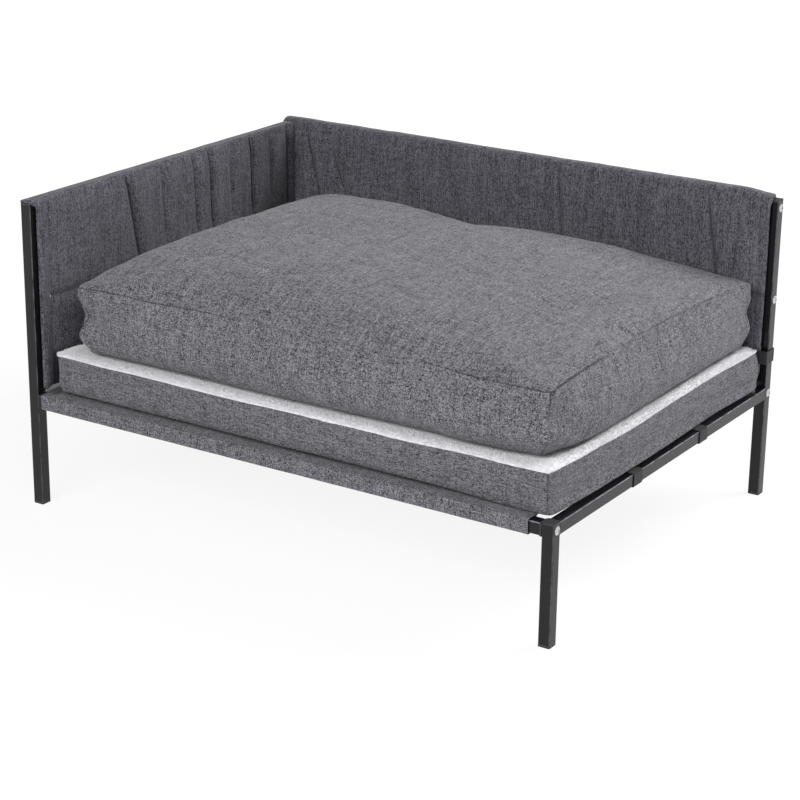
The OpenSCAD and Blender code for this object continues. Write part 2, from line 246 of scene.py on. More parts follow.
class Draft:
    """The points and faces of one piece while it is being made."""

    def __init__(self) -> None:
        """Starts with nothing."""
        self.points: list[np.ndarray] = []
        self.faces: list[np.ndarray] = []
        self.count = 0

    def add(self, points: np.ndarray, faces: np.ndarray) -> None:
        """Adds points, as rows of x, y and z, and the faces between them."""
        self.points.append(np.asarray(points, float).reshape(-1, 3))
        self.faces.append(np.asarray(faces, int) + self.count)
        self.count += len(self.points[-1])

    def copies(self, points: np.ndarray, faces: np.ndarray, places: np.ndarray) -> None:
        """Adds a copy of one small shape at each place.

        Args:
            points: the shape's points.
            faces: its faces.
            places: 4 x 4 matrices, stacked.
        """
        solid = np.c_[points, np.ones(len(points))]
        moved = np.einsum("nij,pj->npi", places, solid)[..., :3]
        offset = np.arange(len(places))[:, None, None] * len(points)
        self.add(moved.reshape(-1, 3), (faces[None] + offset).reshape(-1, faces.shape[1]))

    def shell(self, outer: np.ndarray, inner: np.ndarray, proud: float = 0.45) -> None:
        """Adds a closed sheet from the grids of its two sides, with a rounded rim.

        Args:
            outer: points of the side that faces along the grid's normals.
            inner: points of the other side.
            proud: how far the rim bulges, as a share of the thickness.
        """
        rows, columns = outer.shape[:2]
        index = np.arange(rows * columns).reshape(rows, columns)
        loop = np.concatenate(
            [index[0, :-1], index[:-1, -1], index[-1, :0:-1], index[:0:-1, 0]]
        )
        inside = index.copy()
        inside[0], inside[-1] = index[1], index[-2]
        inside[:, 0], inside[:, -1] = inside[:, 1], inside[:, -2]
        o, i = outer.reshape(-1, 3), inner.reshape(-1, 3)
        away = unit((o + i)[loop] - (o + i)[inside.reshape(-1)[loop]])
        thick = np.linalg.norm(o[loop] - i[loop], axis=1, keepdims=True)
        rim = (o[loop] + i[loop]) / 2 + away * thick * proud
        n = index.size
        ring = 2 * n + np.arange(len(loop))
        nxt = np.roll(ring, -1)
        front = np.stack([loop, np.roll(loop, -1), nxt, ring], -1)
        back = np.stack([ring, nxt, np.roll(loop, -1) + n, loop + n], -1)
        flat = quads(index)
        faces = np.concatenate([flat, flat[:, ::-1] + n, front, back])
        self.add(np.concatenate([o, i, rim]), faces)

    def piece(self, name: str, finish: "Finish", body: Body, slot: str) -> bpy.types.Object:
        """Makes the object, dresses it and lets it ride.

        Args:
            name: the piece's name.
            finish: what it is made of.
            body: the body that it rides on.
            slot: not used.

        Returns:
            The new object.
        """
        mesh = bpy.data.meshes.new(name)
        faces = [tuple(face) for block in self.faces for face in block.tolist()]
        mesh.from_pydata(np.concatenate(self.points).tolist(), [], faces)
        mesh.validate()
        mesh.polygons.foreach_set("use_smooth", [True] * len(mesh.polygons))
        mesh.materials.append(finish.material())
        thing = bpy.data.objects.new(name, mesh)
        bpy.context.scene.collection.objects.link(thing)
        outward(mesh)
        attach(thing, body.value)
        LOG.info("%s: %d faces on %s", name, len(faces), body.value)
        return thing


def paint_shade(thing: bpy.types.Object, marks: np.ndarray) -> None:
    """Stores how much painted shade darkens each point, from 0 to 1: in seams, creases, gaps and
    the shaded parts of a panel.
    """
    layer = thing.data.attributes.new(PAINTED_SHADE_ATTRIBUTE, "FLOAT", "POINT")
    layer.data.foreach_set("value", np.clip(marks, 0, 1).astype(np.float32).ravel())


def spots(mesh: bpy.types.Mesh) -> np.ndarray:
    """The points of a mesh, as rows of x, y and z."""
    found = np.empty(len(mesh.vertices) * 3)
    mesh.vertices.foreach_get("co", found)
    return found.reshape(-1, 3)


def outward(mesh: bpy.types.Mesh) -> None:
    """Turns a closed mesh's faces outwards, if they face in."""
    mesh.calc_loop_triangles()
    index = np.empty(len(mesh.loop_triangles) * 3, int)
    mesh.loop_triangles.foreach_get("vertices", index)
    a, b, c = spots(mesh)[index.reshape(-1, 3)].swapaxes(0, 1)
    if np.einsum("ij,ij->i", a, np.cross(b, c)).sum() < 0:
        mesh.flip_normals()
    mesh.update()


# ---------------------------------------------------------------- shader nodes


class Bench:
    """Places and links the nodes of one shader tree or group."""

    def __init__(self, tree: bpy.types.NodeTree) -> None:
        """Works on that tree."""
        self.tree = tree

    def node(self, kind: str, inputs: Optional[dict] = None, **settings) -> bpy.types.Node:
        """Adds a node.

        Args:
            kind: its type, without the ShaderNode in front.
            inputs: values or sockets for its inputs, by name or number.
            settings: values for its own properties.

        Returns:
            The node.
        """
        made = self.tree.nodes.new("ShaderNode" + kind)
        for key, value in settings.items():
            setattr(made, key, value)
        self.fill(made, inputs or {})
        return made

    def fill(self, node: bpy.types.Node, inputs: dict) -> None:
        """Feeds a node's inputs, by name or number."""
        for key, value in inputs.items():
            self.feed(node.inputs[key], value)

    def feed(self, socket: bpy.types.NodeSocket, value: object) -> None:
        """Links a socket to another, or sets its value."""
        if isinstance(value, bpy.types.NodeSocket):
            self.tree.links.new(value, socket)
        else:
            socket.default_value = value

    def sum(self, operation: str, *terms: object) -> bpy.types.NodeSocket:
        """The result of a Math node on up to three terms."""
        return self.node("Math", dict(enumerate(terms)), operation=operation).outputs[0]

    def noise(self, vector: object, scale: object, detail: float = 2.0) -> bpy.types.NodeSocket:
        """The value of a Noise Texture."""
        inputs = {"Vector": vector, "Scale": scale, "Detail": detail}
        return self.node("TexNoise", inputs).outputs["Fac"]

    def blend(self, factor: object, low: object, high: object) -> bpy.types.NodeSocket:
        """A colour between low and high."""
        made = self.node("Mix", data_type="RGBA")
        self.fill(made, {0: factor, 6: low, 7: high})
        return made.outputs[2]

    def between(self, factor: object, low: object, high: object) -> bpy.types.NodeSocket:
        """A number between low and high."""
        return self.node("Mix", {0: factor, 2: low, 3: high}).outputs[0]

    def join(self, x: object, y: object, z: object = 0.0) -> bpy.types.NodeSocket:
        """A vector from three numbers."""
        return self.node("CombineXYZ", {"X": x, "Y": y, "Z": z}).outputs[0]

    def group(self, tree: bpy.types.NodeTree, inputs: Optional[dict] = None) -> object:
        """The outputs of a shared group, by name."""
        return self.node("Group", inputs, node_tree=tree).outputs

    def seen(self) -> bpy.types.NodeSocket:
        """1 for what the camera sees, straight or by way of gloss or glass."""
        path = self.node("LightPath").outputs
        seen = self.sum("MAXIMUM", path["Is Camera Ray"], path["Is Glossy Ray"])
        return self.sum("MAXIMUM", seen, path["Is Transmission Ray"])

    def spread(self, value: object, low: float, high: float) -> bpy.types.NodeSocket:
        """A number from 0 to 1 as it goes from low to high."""
        made = self.node("MapRange", {"Value": value, "From Min": low, "From Max": high})
        return made.outputs[0]


class Groups:
    """The shader groups that several materials share, each built once."""

    @staticmethod
    def fetch(name: str, inputs: dict, outputs: tuple, build: Callable) -> bpy.types.NodeTree:
        """Finds a group, or builds it the first time.

        Args:
            name: the group's name.
            inputs: default number of each input, by name.
            outputs: name of each output; the one called Normal is a vector.
            build: fills the group; it gets a bench, the input node and the output node.

        Returns:
            The group.
        """
        if name in bpy.data.node_groups:
            return bpy.data.node_groups[name]
        tree = bpy.data.node_groups.new(name, "ShaderNodeTree")
        for key, value in inputs.items():
            made = tree.interface.new_socket(key, in_out="INPUT", socket_type="NodeSocketFloat")
            made.default_value = value
        for key in outputs:
            kind = "NodeSocketVector" if key == "Normal" else "NodeSocketFloat"
            tree.interface.new_socket(key, in_out="OUTPUT", socket_type=kind)
        given, out = (tree.nodes.new(f"NodeGroup{way}") for way in ("Input", "Output"))
        build(Bench(tree), given, out)
        return tree

    @classmethod
    def cloth_face(cls) -> bpy.types.NodeTree:
        """Where a point is along and across the cloth, on the flat that it faces most."""

        def build(b: Bench, given: bpy.types.Node, out: bpy.types.Node) -> None:
            """Fills the group."""
            spot = b.node("TexCoord")
            place = b.node("SeparateXYZ", {0: spot.outputs["Object"]}).outputs
            face = b.node("SeparateXYZ", {0: spot.outputs["Normal"]}).outputs
            size = [b.sum("ABSOLUTE", face[k]) for k in range(3)]
            top = b.sum("GREATER_THAN", size[2], b.sum("MAXIMUM", size[0], size[1]))
            side = b.sum("GREATER_THAN", size[0], size[1])
            flank = b.sum("MULTIPLY", side, b.sum("SUBTRACT", 1.0, top))
            along = b.between(flank, place[0], place[1])
            b.fill(out, {"Along": along, "Across": b.between(top, place[2], place[1])})

        return cls.fetch("cloth_face", {}, ("Along", "Across"), build)

    @classmethod
    def plain_weave(cls) -> bpy.types.NodeTree:
        """Threads over and under one another, each with light and dark lengths."""

        def yarn(b: Bench, across: object, along: object, slub: object, seed: float) -> object:
            """Shade of the thread at a place: slubs, short flecks and each thread's own tone."""
            thread = b.sum("FLOOR", across)
            shade: object = 0.0
            for length, share in ((1.0, 0.45), (0.4, 0.3), (7.0, 0.25)):
                place = b.sum("DIVIDE", along, b.sum("MULTIPLY", slub, length))
                bit = b.sum("FLOOR", b.sum("MULTIPLY_ADD", thread, 0.618, place))
                spot = b.join(thread, bit, seed + length)
                part = b.node("TexWhiteNoise", {"Vector": spot}).outputs["Value"]
                shade = b.sum("MULTIPLY_ADD", part, share, shade)
            return shade

        def build(b: Bench, given: bpy.types.Node, out: bpy.types.Node) -> None:
            """Fills the group."""
            face = b.group(cls.cloth_face())
            pitch, slub = given.outputs["Pitch"], given.outputs["Slub"]
            across_pitch = b.sum("MULTIPLY", pitch, given.outputs["Rib"])
            u = b.sum("DIVIDE", face["Along"], pitch)
            v = b.sum("DIVIDE", face["Across"], across_pitch)
            warp, weft = yarn(b, u, v, slub, 3.1), yarn(b, v, u, given.outputs["Cross Slub"], 7.7)
            cloud = b.noise(b.join(u, b.sum("MULTIPLY", v, 0.12), 5.3), 0.10, 2.0)
            parity = b.sum("ADD", b.sum("FLOOR", u), b.sum("FLOOR", v))
            over = b.sum("FLOORED_MODULO", parity, 2.0)
            hump_u = b.sum("ABSOLUTE", b.sum("SINE", b.sum("MULTIPLY", u, math.pi)))
            hump_v = b.sum("ABSOLUTE", b.sum("SINE", b.sum("MULTIPLY", v, math.pi)))
            thread = b.between(over, hump_u, hump_v)
            height = b.sum("MULTIPLY_ADD", b.between(over, warp, weft), 0.35, thread)
            b.fill(out, dict(zip(names, (warp, weft, over, cloud, height))))

        names = ("Warp", "Weft", "Over", "Cloud", "Height")
        inputs = {"Pitch": 1.0 * MM, "Rib": 1.0, "Slub": 5.0, "Cross Slub": 5.0}
        return cls.fetch("plain_weave", inputs, names, build)

    @classmethod
    def fine_relief(cls) -> bpy.types.NodeTree:
        """Small even texture of a coating or a moulded face, and slow mottling over it."""

        def build(b: Bench, given: bpy.types.Node, out: bpy.types.Node) -> None:
            """Fills the group."""
            spot = b.node("TexCoord").outputs["Object"]
            fine = b.noise(spot, given.outputs["Grain"], 3.0)
            b.fill(out, {"Height": fine, "Mottle": b.noise(spot, 14.0, 4.0)})

        return cls.fetch("fine_relief", {"Grain": 900.0}, ("Height", "Mottle"), build)

    @classmethod
    def edge_wear_and_highlight(cls) -> bpy.types.NodeTree:
        """A broken mask along outside edges, where hands and floors rub, and with Square set a
        painted highlight along square corners, strongest where they face up.
        """

        def build(b: Bench, given: bpy.types.Node, out: bpy.types.Node) -> None:
            """Fills the group."""
            round_off = b.node("Bevel", {"Radius": given.outputs["Width"]}, samples=4)
            flat = b.node("NewGeometry").outputs["Normal"]
            turn = {0: round_off.outputs[0], 1: flat}
            cosine = b.node("VectorMath", turn, operation="DOT_PRODUCT").outputs["Value"]
            edge = b.spread(cosine, 0.995, 0.93)
            tilt = b.node("SeparateXYZ", {0: round_off.outputs[0]}).outputs
            size = [b.sum("ABSOLUTE", tilt[k]) for k in range(3)]
            less, more = b.sum("MINIMUM", size[0], size[1]), b.sum("MAXIMUM", size[0], size[1])
            second = b.sum("MAXIMUM", less, b.sum("MINIMUM", more, size[2]))
            # Painted highlight: with Square set, the corners of square tubes join the mask, lighter
            # where they face up as if lit from above.
            corner = b.sum("MULTIPLY", b.spread(second, 0.12, 0.45), given.outputs["Square"])
            rise = {"Value": tilt[2], "From Max": 0.5, "To Min": 0.3}
            upper = b.node("MapRange", rise).outputs[0]
            edge = b.sum("MAXIMUM", edge, b.sum("MULTIPLY", corner, upper))
            spot = b.node("TexCoord").outputs["Object"]
            patch = b.spread(b.noise(spot, 60.0, 5.0), 0.25, 0.6)
            mask = b.sum("MULTIPLY", b.sum("MULTIPLY", edge, patch), given.outputs["Amount"])
            b.fill(out, {"Mask": mask, "Normal": round_off.outputs[0]})

        inputs = {"Width": 0.8 * MM, "Amount": 1.0, "Square": 0.0}
        return cls.fetch("edge_wear_and_highlight", inputs, ("Mask", "Normal"), build)

    @classmethod
    def loose_fibres(cls) -> bpy.types.NodeTree:
        """Tufts and single fibres of pile, wadding or open foam."""

        def build(b: Bench, given: bpy.types.Node, out: bpy.types.Node) -> None:
            """Fills the group."""
            spot = b.node("TexCoord").outputs["Object"]
            tuft = b.node(
                "TexVoronoi", {"Vector": spot, "Scale": given.outputs["Tufts"]}, feature="SMOOTH_F1"
            )
            hair = b.noise(spot, given.outputs["Hairs"], 4.0)
            tall = b.sum("SUBTRACT", 1.0, tuft.outputs["Distance"])
            high = b.sum("MULTIPLY_ADD", hair, 0.6, tall)
            b.fill(out, dict(zip(names, (high, hair, tall))))

        names = ("Height", "Shade", "Tuft")
        return cls.fetch("loose_fibres", {"Tufts": 160.0, "Hairs": 900.0}, names, build)


# ---------------------------------------------------------------- finishes


@dataclass(frozen=True)
class Finish:
    """A finish that makes one material, once."""

    name: str
    colour: tuple[float, float, float]
    roughness: float = 0.6

    def material(self) -> bpy.types.Material:
        """The finish's material, built the first time it is asked for."""
        if self.name in bpy.data.materials:
            return bpy.data.materials[self.name]
        made = bpy.data.materials.new(self.name)
        made.use_nodes = True
        made.diffuse_color = (*self.colour, 1.0)
        tree = made.node_tree
        tree.nodes.clear()
        bench = Bench(tree)
        surface = bench.node("BsdfPrincipled", {"Roughness": self.roughness})
        self.dress(bench, surface)
        end = bench.node("OutputMaterial")
        tree.links.new(surface.outputs[0], end.inputs["Surface"])
        return made

    def dress(self, b: Bench, surface: bpy.types.Node) -> None:
        """Feeds the shader. Each finish has its own way."""
        surface.inputs["Base Color"].default_value = (*self.colour, 1.0)

    def tinted(self, factor: float) -> tuple[float, float, float, float]:
        """The finish's colour made darker or lighter."""
        return (*(min(1.0, part * factor) for part in self.colour), 1.0)

    @staticmethod
    def bump(b: Bench, surface: bpy.types.Node, height: object, depth: float, strength: float,
             normal: object = None) -> None:
        """Gives the surface a relief.

        Args:
            b: the material's bench.
            surface: its shader.
            height: the relief, from 0 to 1.
            depth: what a height of 1 is, in metres.
            strength: how much of it shows.
            normal: a normal to build on, if any.
        """
        inputs = {"Height": height, "Distance": depth, "Strength": strength}
        if normal is not None:
            inputs["Normal"] = normal
        b.fill(surface, {"Normal": b.node("Bump", inputs).outputs[0]})


@dataclass(frozen=True)
class Linen(Finish):
    """Heathered two-tone weave of light and dark yarns."""

    contrast: float = 1.0
    warp_share: float = 0.56
    pitch: float = 0.9 * MM
    slub: float = 2.4
    cross_slub: float = 2.8
    cloudy: float = 0.3
    relief: float = 0.25 * MM
    # How dark the cloth gets under the fullest painted shade, as a share of its colour.
    painted_shade_tone: float = 0.12
    shade_range: tuple[float, float] = (0.34, 0.72)

    def dress(self, b: Bench, surface: bpy.types.Node) -> None:
        """Mixes dark and light lengths of yarn, with slow clouds over them, and darkens the marked
        points with painted shade.
        """
        inputs = {"Pitch": self.pitch, "Slub": self.slub, "Cross Slub": self.cross_slub}
        weave = b.group(Groups.plain_weave(), inputs)
        pick = b.node("MapRange", {
            "Value": weave["Over"],
            "To Min": max(0.0, 2 * self.warp_share - 1), "To Max": min(1.0, 2 * self.warp_share),
        }).outputs[0]
        shade = b.between(pick, weave["Weft"], weave["Warp"])
        shade = b.spread(shade, *self.shade_range)
        cloud = b.sum("MULTIPLY", b.sum("SUBTRACT", weave["Cloud"], 0.5), self.cloudy)
        shade = b.sum("ADD", shade, cloud)
        low, high = 1.0 - 0.97 * self.contrast, 1.0 + 1.5 * self.contrast
        colour = b.blend(shade, self.tinted(low), self.tinted(high))
        # Painted shade: the stored marks darken the cloth in seams, creases, gaps and shaded
        # corners.
        fold = b.node("Attribute", attribute_name=PAINTED_SHADE_ATTRIBUTE).outputs["Fac"]
        b.fill(surface, {
            "Base Color": b.blend(fold, colour, self.tinted(self.painted_shade_tone)),
            "Roughness": b.node("MapRange", {
                "Value": shade, "To Min": self.roughness + 0.06, "To Max": self.roughness - 0.06,
            }).outputs[0],
            "Sheen Weight": 0.12, "Sheen Roughness": 0.5, "Specular IOR Level": 0.2,
        })
        self.bump(b, surface, weave["Height"], self.relief, 0.5)


@dataclass(frozen=True)
class PowderCoat(Finish):
    """Satin coating with a fine orange peel, and edges lightened by a little rub and a painted
    highlight.
    """

    def dress(self, b: Bench, surface: bpy.types.Node) -> None:
        """Mottles the coat, roughens it and lightens its edges with rub and a painted highlight."""
        peel = b.group(Groups.fine_relief(), {"Grain": 700.0})
        inputs = {"Width": 1.2 * MM, "Amount": 0.85, "Square": 1.0}
        wear_and_highlight = b.group(Groups.edge_wear_and_highlight(), inputs)
        coat = b.blend(peel["Mottle"], self.tinted(0.85), self.tinted(1.2))
        # Painted highlight: the edge mask takes the colour far up toward a light grey, mostly along
        # the upper corners of the tubes.
        b.fill(surface, {
            "Base Color": b.blend(wear_and_highlight["Mask"], coat, self.tinted(60.0)),
            "Roughness": b.sum("MULTIPLY_ADD", peel["Mottle"], 0.12, self.roughness - 0.06),
            "Specular IOR Level": 0.32,
        })
        self.bump(b, surface, peel["Height"], 0.08 * MM, 0.3, wear_and_highlight["Normal"])


@dataclass(frozen=True)
class MouldedPlastic(Finish):
    """Matt spark-eroded plastic."""

    def dress(self, b: Bench, surface: bpy.types.Node) -> None:
        """Gives the plastic its fine grain and scuffed edges."""
        grain = b.group(Groups.fine_relief(), {"Grain": 2200.0})
        inputs = {"Width": 0.5 * MM, "Amount": 0.5}
        wear_and_highlight = b.group(Groups.edge_wear_and_highlight(), inputs)
        plain = b.blend(grain["Mottle"], self.tinted(0.8), self.tinted(1.25))
        b.fill(surface, {
            "Base Color": b.blend(wear_and_highlight["Mask"], plain, self.tinted(3.0)),
            "Roughness": b.sum("MULTIPLY_ADD", grain["Height"], 0.2, self.roughness - 0.1),
        })
        self.bump(b, surface, grain["Height"], 0.1 * MM, 0.4)


@dataclass(frozen=True)
class ZincPlate(Finish):
    """Bright plate with fine scratches."""

    def dress(self, b: Bench, surface: bpy.types.Node) -> None:
        """Clouds the plate and gives it small scratches."""
        relief = b.group(Groups.fine_relief(), {"Grain": 1500.0})
        b.fill(surface, {
            "Base Color": b.blend(relief["Mottle"], self.tinted(0.82), self.tinted(1.1)),
            "Roughness": b.sum("MULTIPLY_ADD", relief["Height"], 0.25, self.roughness - 0.12),
            "Metallic": 1.0,
        })
        self.bump(b, surface, relief["Height"], 0.05 * MM, 0.3)


@dataclass(frozen=True)
class Webbing(Finish):
    """Ribbed woven tape."""

    pitch: float = 1.4 * MM
    rib: float = 0.5

    def dress(self, b: Bench, surface: bpy.types.Node) -> None:
        """Ribs the tape and varies its yarn."""
        inputs = {"Pitch": self.pitch, "Rib": self.rib, "Slub": 6.0}
        weave = b.group(Groups.plain_weave(), inputs)
        b.fill(surface, {
            "Base Color": b.blend(weave["Height"], self.tinted(0.55), self.tinted(1.5)),
            "Roughness": b.sum("MULTIPLY_ADD", weave["Warp"], 0.2, self.roughness - 0.1),
            "Sheen Weight": 0.08,
        })
        self.bump(b, surface, weave["Height"], 0.5 * MM, 0.7)


@dataclass(frozen=True)
class Fibres(Finish):
    """Pile, wadding or open foam."""

    tufts: float = 160.0
    hairs: float = 900.0
    depth: float = 2.0 * MM
    sheen: float = 0.3

    def dress(self, b: Bench, surface: bpy.types.Node) -> None:
        """Shades the hollows between tufts and raises the fibres."""
        pile = b.group(Groups.loose_fibres(), {"Tufts": self.tufts, "Hairs": self.hairs})
        hollow, hair = b.spread(pile["Tuft"], 0.2, 0.9), b.spread(pile["Shade"], 0.1, 0.6)
        shade = b.sum("MULTIPLY", hollow, hair)
        b.fill(surface, {
            "Base Color": b.blend(shade, self.tinted(0.8), self.tinted(1.04)),
            "Roughness": b.sum("MULTIPLY_ADD", pile["Shade"], 0.1, self.roughness - 0.05),
            "Sheen Weight": self.sheen, "Specular IOR Level": 0.15,
        })
        self.bump(b, surface, pile["Height"], self.depth, 0.5)


STEEL = PowderCoat("satin_black_coat", (0.0048, 0.0047, 0.0055), 0.26)
PLASTIC = MouldedPlastic("black_plastic", (0.012, 0.012, 0.013), 0.55)
ZINC = ZincPlate("zinc_plate", (0.6, 0.61, 0.63), 0.28)
LINEN = Linen("heather_linen", (0.1265, 0.124, 0.138), 0.85)
BORDER_LINEN = Linen(
    "border_linen", (0.119, 0.1165, 0.1305), 0.85, contrast=0.8, warp_share=0.42, slub=2.0,
    cross_slub=4.5,
)
PANEL_LINEN = Linen(
    "panel_linen", (0.086, 0.0845, 0.1005), 0.85, contrast=0.74, warp_share=0.62, pitch=1.0 * MM,
    slub=4.5, cross_slub=2.5, cloudy=0.5,
)
WEBBING = Webbing("black_webbing", (0.006, 0.006, 0.0075), 0.7)
ZIP_TAPE = Webbing("zip_tape", (0.028, 0.028, 0.032), 0.75, pitch=0.8 * MM, rib=1.0)
PLUSH = Fibres("white_plush", (0.9, 0.9, 0.93), 0.9)
WADDING = Fibres(
    "white_wadding", (0.8, 0.79, 0.76), 0.95, tufts=70.0, hairs=400.0, depth=3.0 * MM,
)
FOAM = Fibres(
    "cream_foam", (0.78, 0.72, 0.52), 0.9, tufts=900.0, hairs=2500.0, depth=0.8 * MM, sheen=0.05,
)
THREAD = Webbing("grey_thread", (0.06, 0.06, 0.068), 0.65, pitch=0.3 * MM, rib=1.0)
BLACK_THREAD = Webbing("black_thread", (0.008, 0.008, 0.009), 0.6, pitch=0.3 * MM, rib=1.0)


# ---------------------------------------------------------------- strips, stitches and pads


@dataclass
class ClothStrip:
    """A strip of cloth that follows a path in one plane and runs straight across it."""

    plane: Plane
    path: np.ndarray
    thickness: np.ndarray | float
    low: np.ndarray | float
    high: np.ndarray | float
    columns: int
    side: float = 1.0
    crowd: float = 0.35

    def __post_init__(self) -> None:
        """Lets a single thickness, low or high edge stand for the whole path."""
        for name in ("thickness", "low", "high"):
            setattr(self, name, np.broadcast_to(getattr(self, name), len(self.path)))

    def grid(self) -> np.ndarray:
        """The strip's middle surface, with columns closer together at both edges."""
        t = np.linspace(0.0, 1.0, self.columns)
        t = t - self.crowd * np.sin(2 * math.pi * t) / (2 * math.pi)
        across = self.low[:, None] + (self.high - self.low)[:, None] * t[None]
        first, second, third = self.plane.value
        grid = np.empty(across.shape + (3,))
        grid[..., first] = self.path[:, 0][:, None]
        grid[..., second] = self.path[:, 1][:, None]
        grid[..., third] = across
        return grid

    def normals(self) -> np.ndarray:
        """Unit normals of the outer side, one for each point of the path."""
        run = unit(np.gradient(self.path, axis=0))
        first, second, _ = self.plane.value
        out = np.zeros((len(run), 3))
        out[:, first] = run[:, 1] * self.side
        out[:, second] = -run[:, 0] * self.side
        return out

    def sides(self, relief: Optional[Relief] = None) -> tuple[np.ndarray, np.ndarray]:
        """Both sides of the cloth.

        Args:
            relief: how far each side stands out, from the middle surface's points.

        Returns:
            The outer and the inner grid.
        """
        grid = self.grid()
        way = self.normals()[:, None]
        half = self.thickness[:, None, None] / 2
        out, back = (0.0, 0.0) if relief is None else (part[..., None] for part in relief(grid))
        return grid + way * (half + out), grid - way * (half + back)

    def add_to(self, draft: Draft, relief: Optional[Relief] = None) -> np.ndarray:
        """Adds the closed strip to a draft and returns its outer side."""
        outer, inner = self.sides(relief)
        draft.shell(outer, inner)
        return outer


@dataclass(frozen=True)
class Stitching:
    """Rows of short stitches laid on cloth."""

    pitch: float = 3.4 * MM
    length: float = 2.5 * MM
    radius: float = 0.32 * MM

    def shape(self) -> tuple[np.ndarray, np.ndarray]:
        """Points and faces of one stitch, along X, which dips at both ends."""
        turn = np.arange(6) * math.pi / 3
        ring = np.stack([np.cos(turn), np.sin(turn)], 1) * self.radius
        points = []
        rings = (-0.5, 0.3, 1.1), (-0.3, 0.9, 0.2), (0.3, 0.9, 0.2), (0.5, 0.3, 1.1)
        for place, size, dip in rings:
            rows = np.c_[np.full(6, place * self.length), ring * size]
            rows[:, 2] += (0.4 - dip) * self.radius
            points.append(rows)
        caps = [(3, 2, 1, 0), (5, 4, 3, 0), (18, 19, 20, 21), (18, 21, 22, 23)]
        return np.concatenate(points), np.array(sleeve(4, 6) + caps)

    def sew(self, draft: Draft, line: np.ndarray, up: np.ndarray) -> None:
        """Adds one row of stitches along a line.

        Args:
            draft: gets the stitches.
            line: points that the row follows.
            up: the cloth's normal there, for each point or for all.
        """
        gap = np.linalg.norm(np.diff(line, axis=0), axis=1)
        far = np.r_[0.0, np.cumsum(gap)]
        count = max(2, int(far[-1] / self.pitch))
        at = (np.arange(count) + 0.5) * far[-1] / count
        up = np.broadcast_to(up, line.shape)
        spot, ahead, over = (
            np.stack([np.interp(at + shift, far, values[:, k]) for k in range(3)], 1)
            for values, shift in ((line, 0.0), (line, 0.5 * MM), (up, 0.0))
        )
        behind = np.stack([np.interp(at - 0.5 * MM, far, line[:, k]) for k in range(3)], 1)
        run = unit(ahead - behind)
        over = unit(over - run * np.sum(over * run, 1, keepdims=True))
        places = placed(run, np.cross(over, run), over, spot + over * self.radius * 0.5)
        draft.copies(*self.shape(), places)

    @classmethod
    def box(cls, draft: Draft, across: tuple, up_down: tuple, at: Callable, up: np.ndarray) -> None:
        """Sews a box with a cross in it.

        Args:
            draft: gets the stitches.
            across: where the box starts and ends one way.
            up_down: where it starts and ends the other way.
            at: a corner's place, from one of each.
            up: the webbing's normal.
        """
        (a, b), (c, d) = across, up_down
        ring = [(a, c), (b, c), (b, d), (a, d), (a, c), (b, d)]
        thread = cls(pitch=2.6 * MM, length=2.0 * MM)
        for start, end in [*zip(ring, ring[1:]), ((a, d), (b, c))]:
            thread.sew(draft, np.array([at(*start), at(*end)]), up)


@dataclass(frozen=True)
class PadShape:
    """Sizes of a boxed pad before its cover settles."""

    low: tuple[float, float, float]
    high: tuple[float, float, float]
    columns: int
    rows: int
    bands: int
    corner: float
    bulge: float
    pinch: Sequence[float]
    waist: float
    underside: float


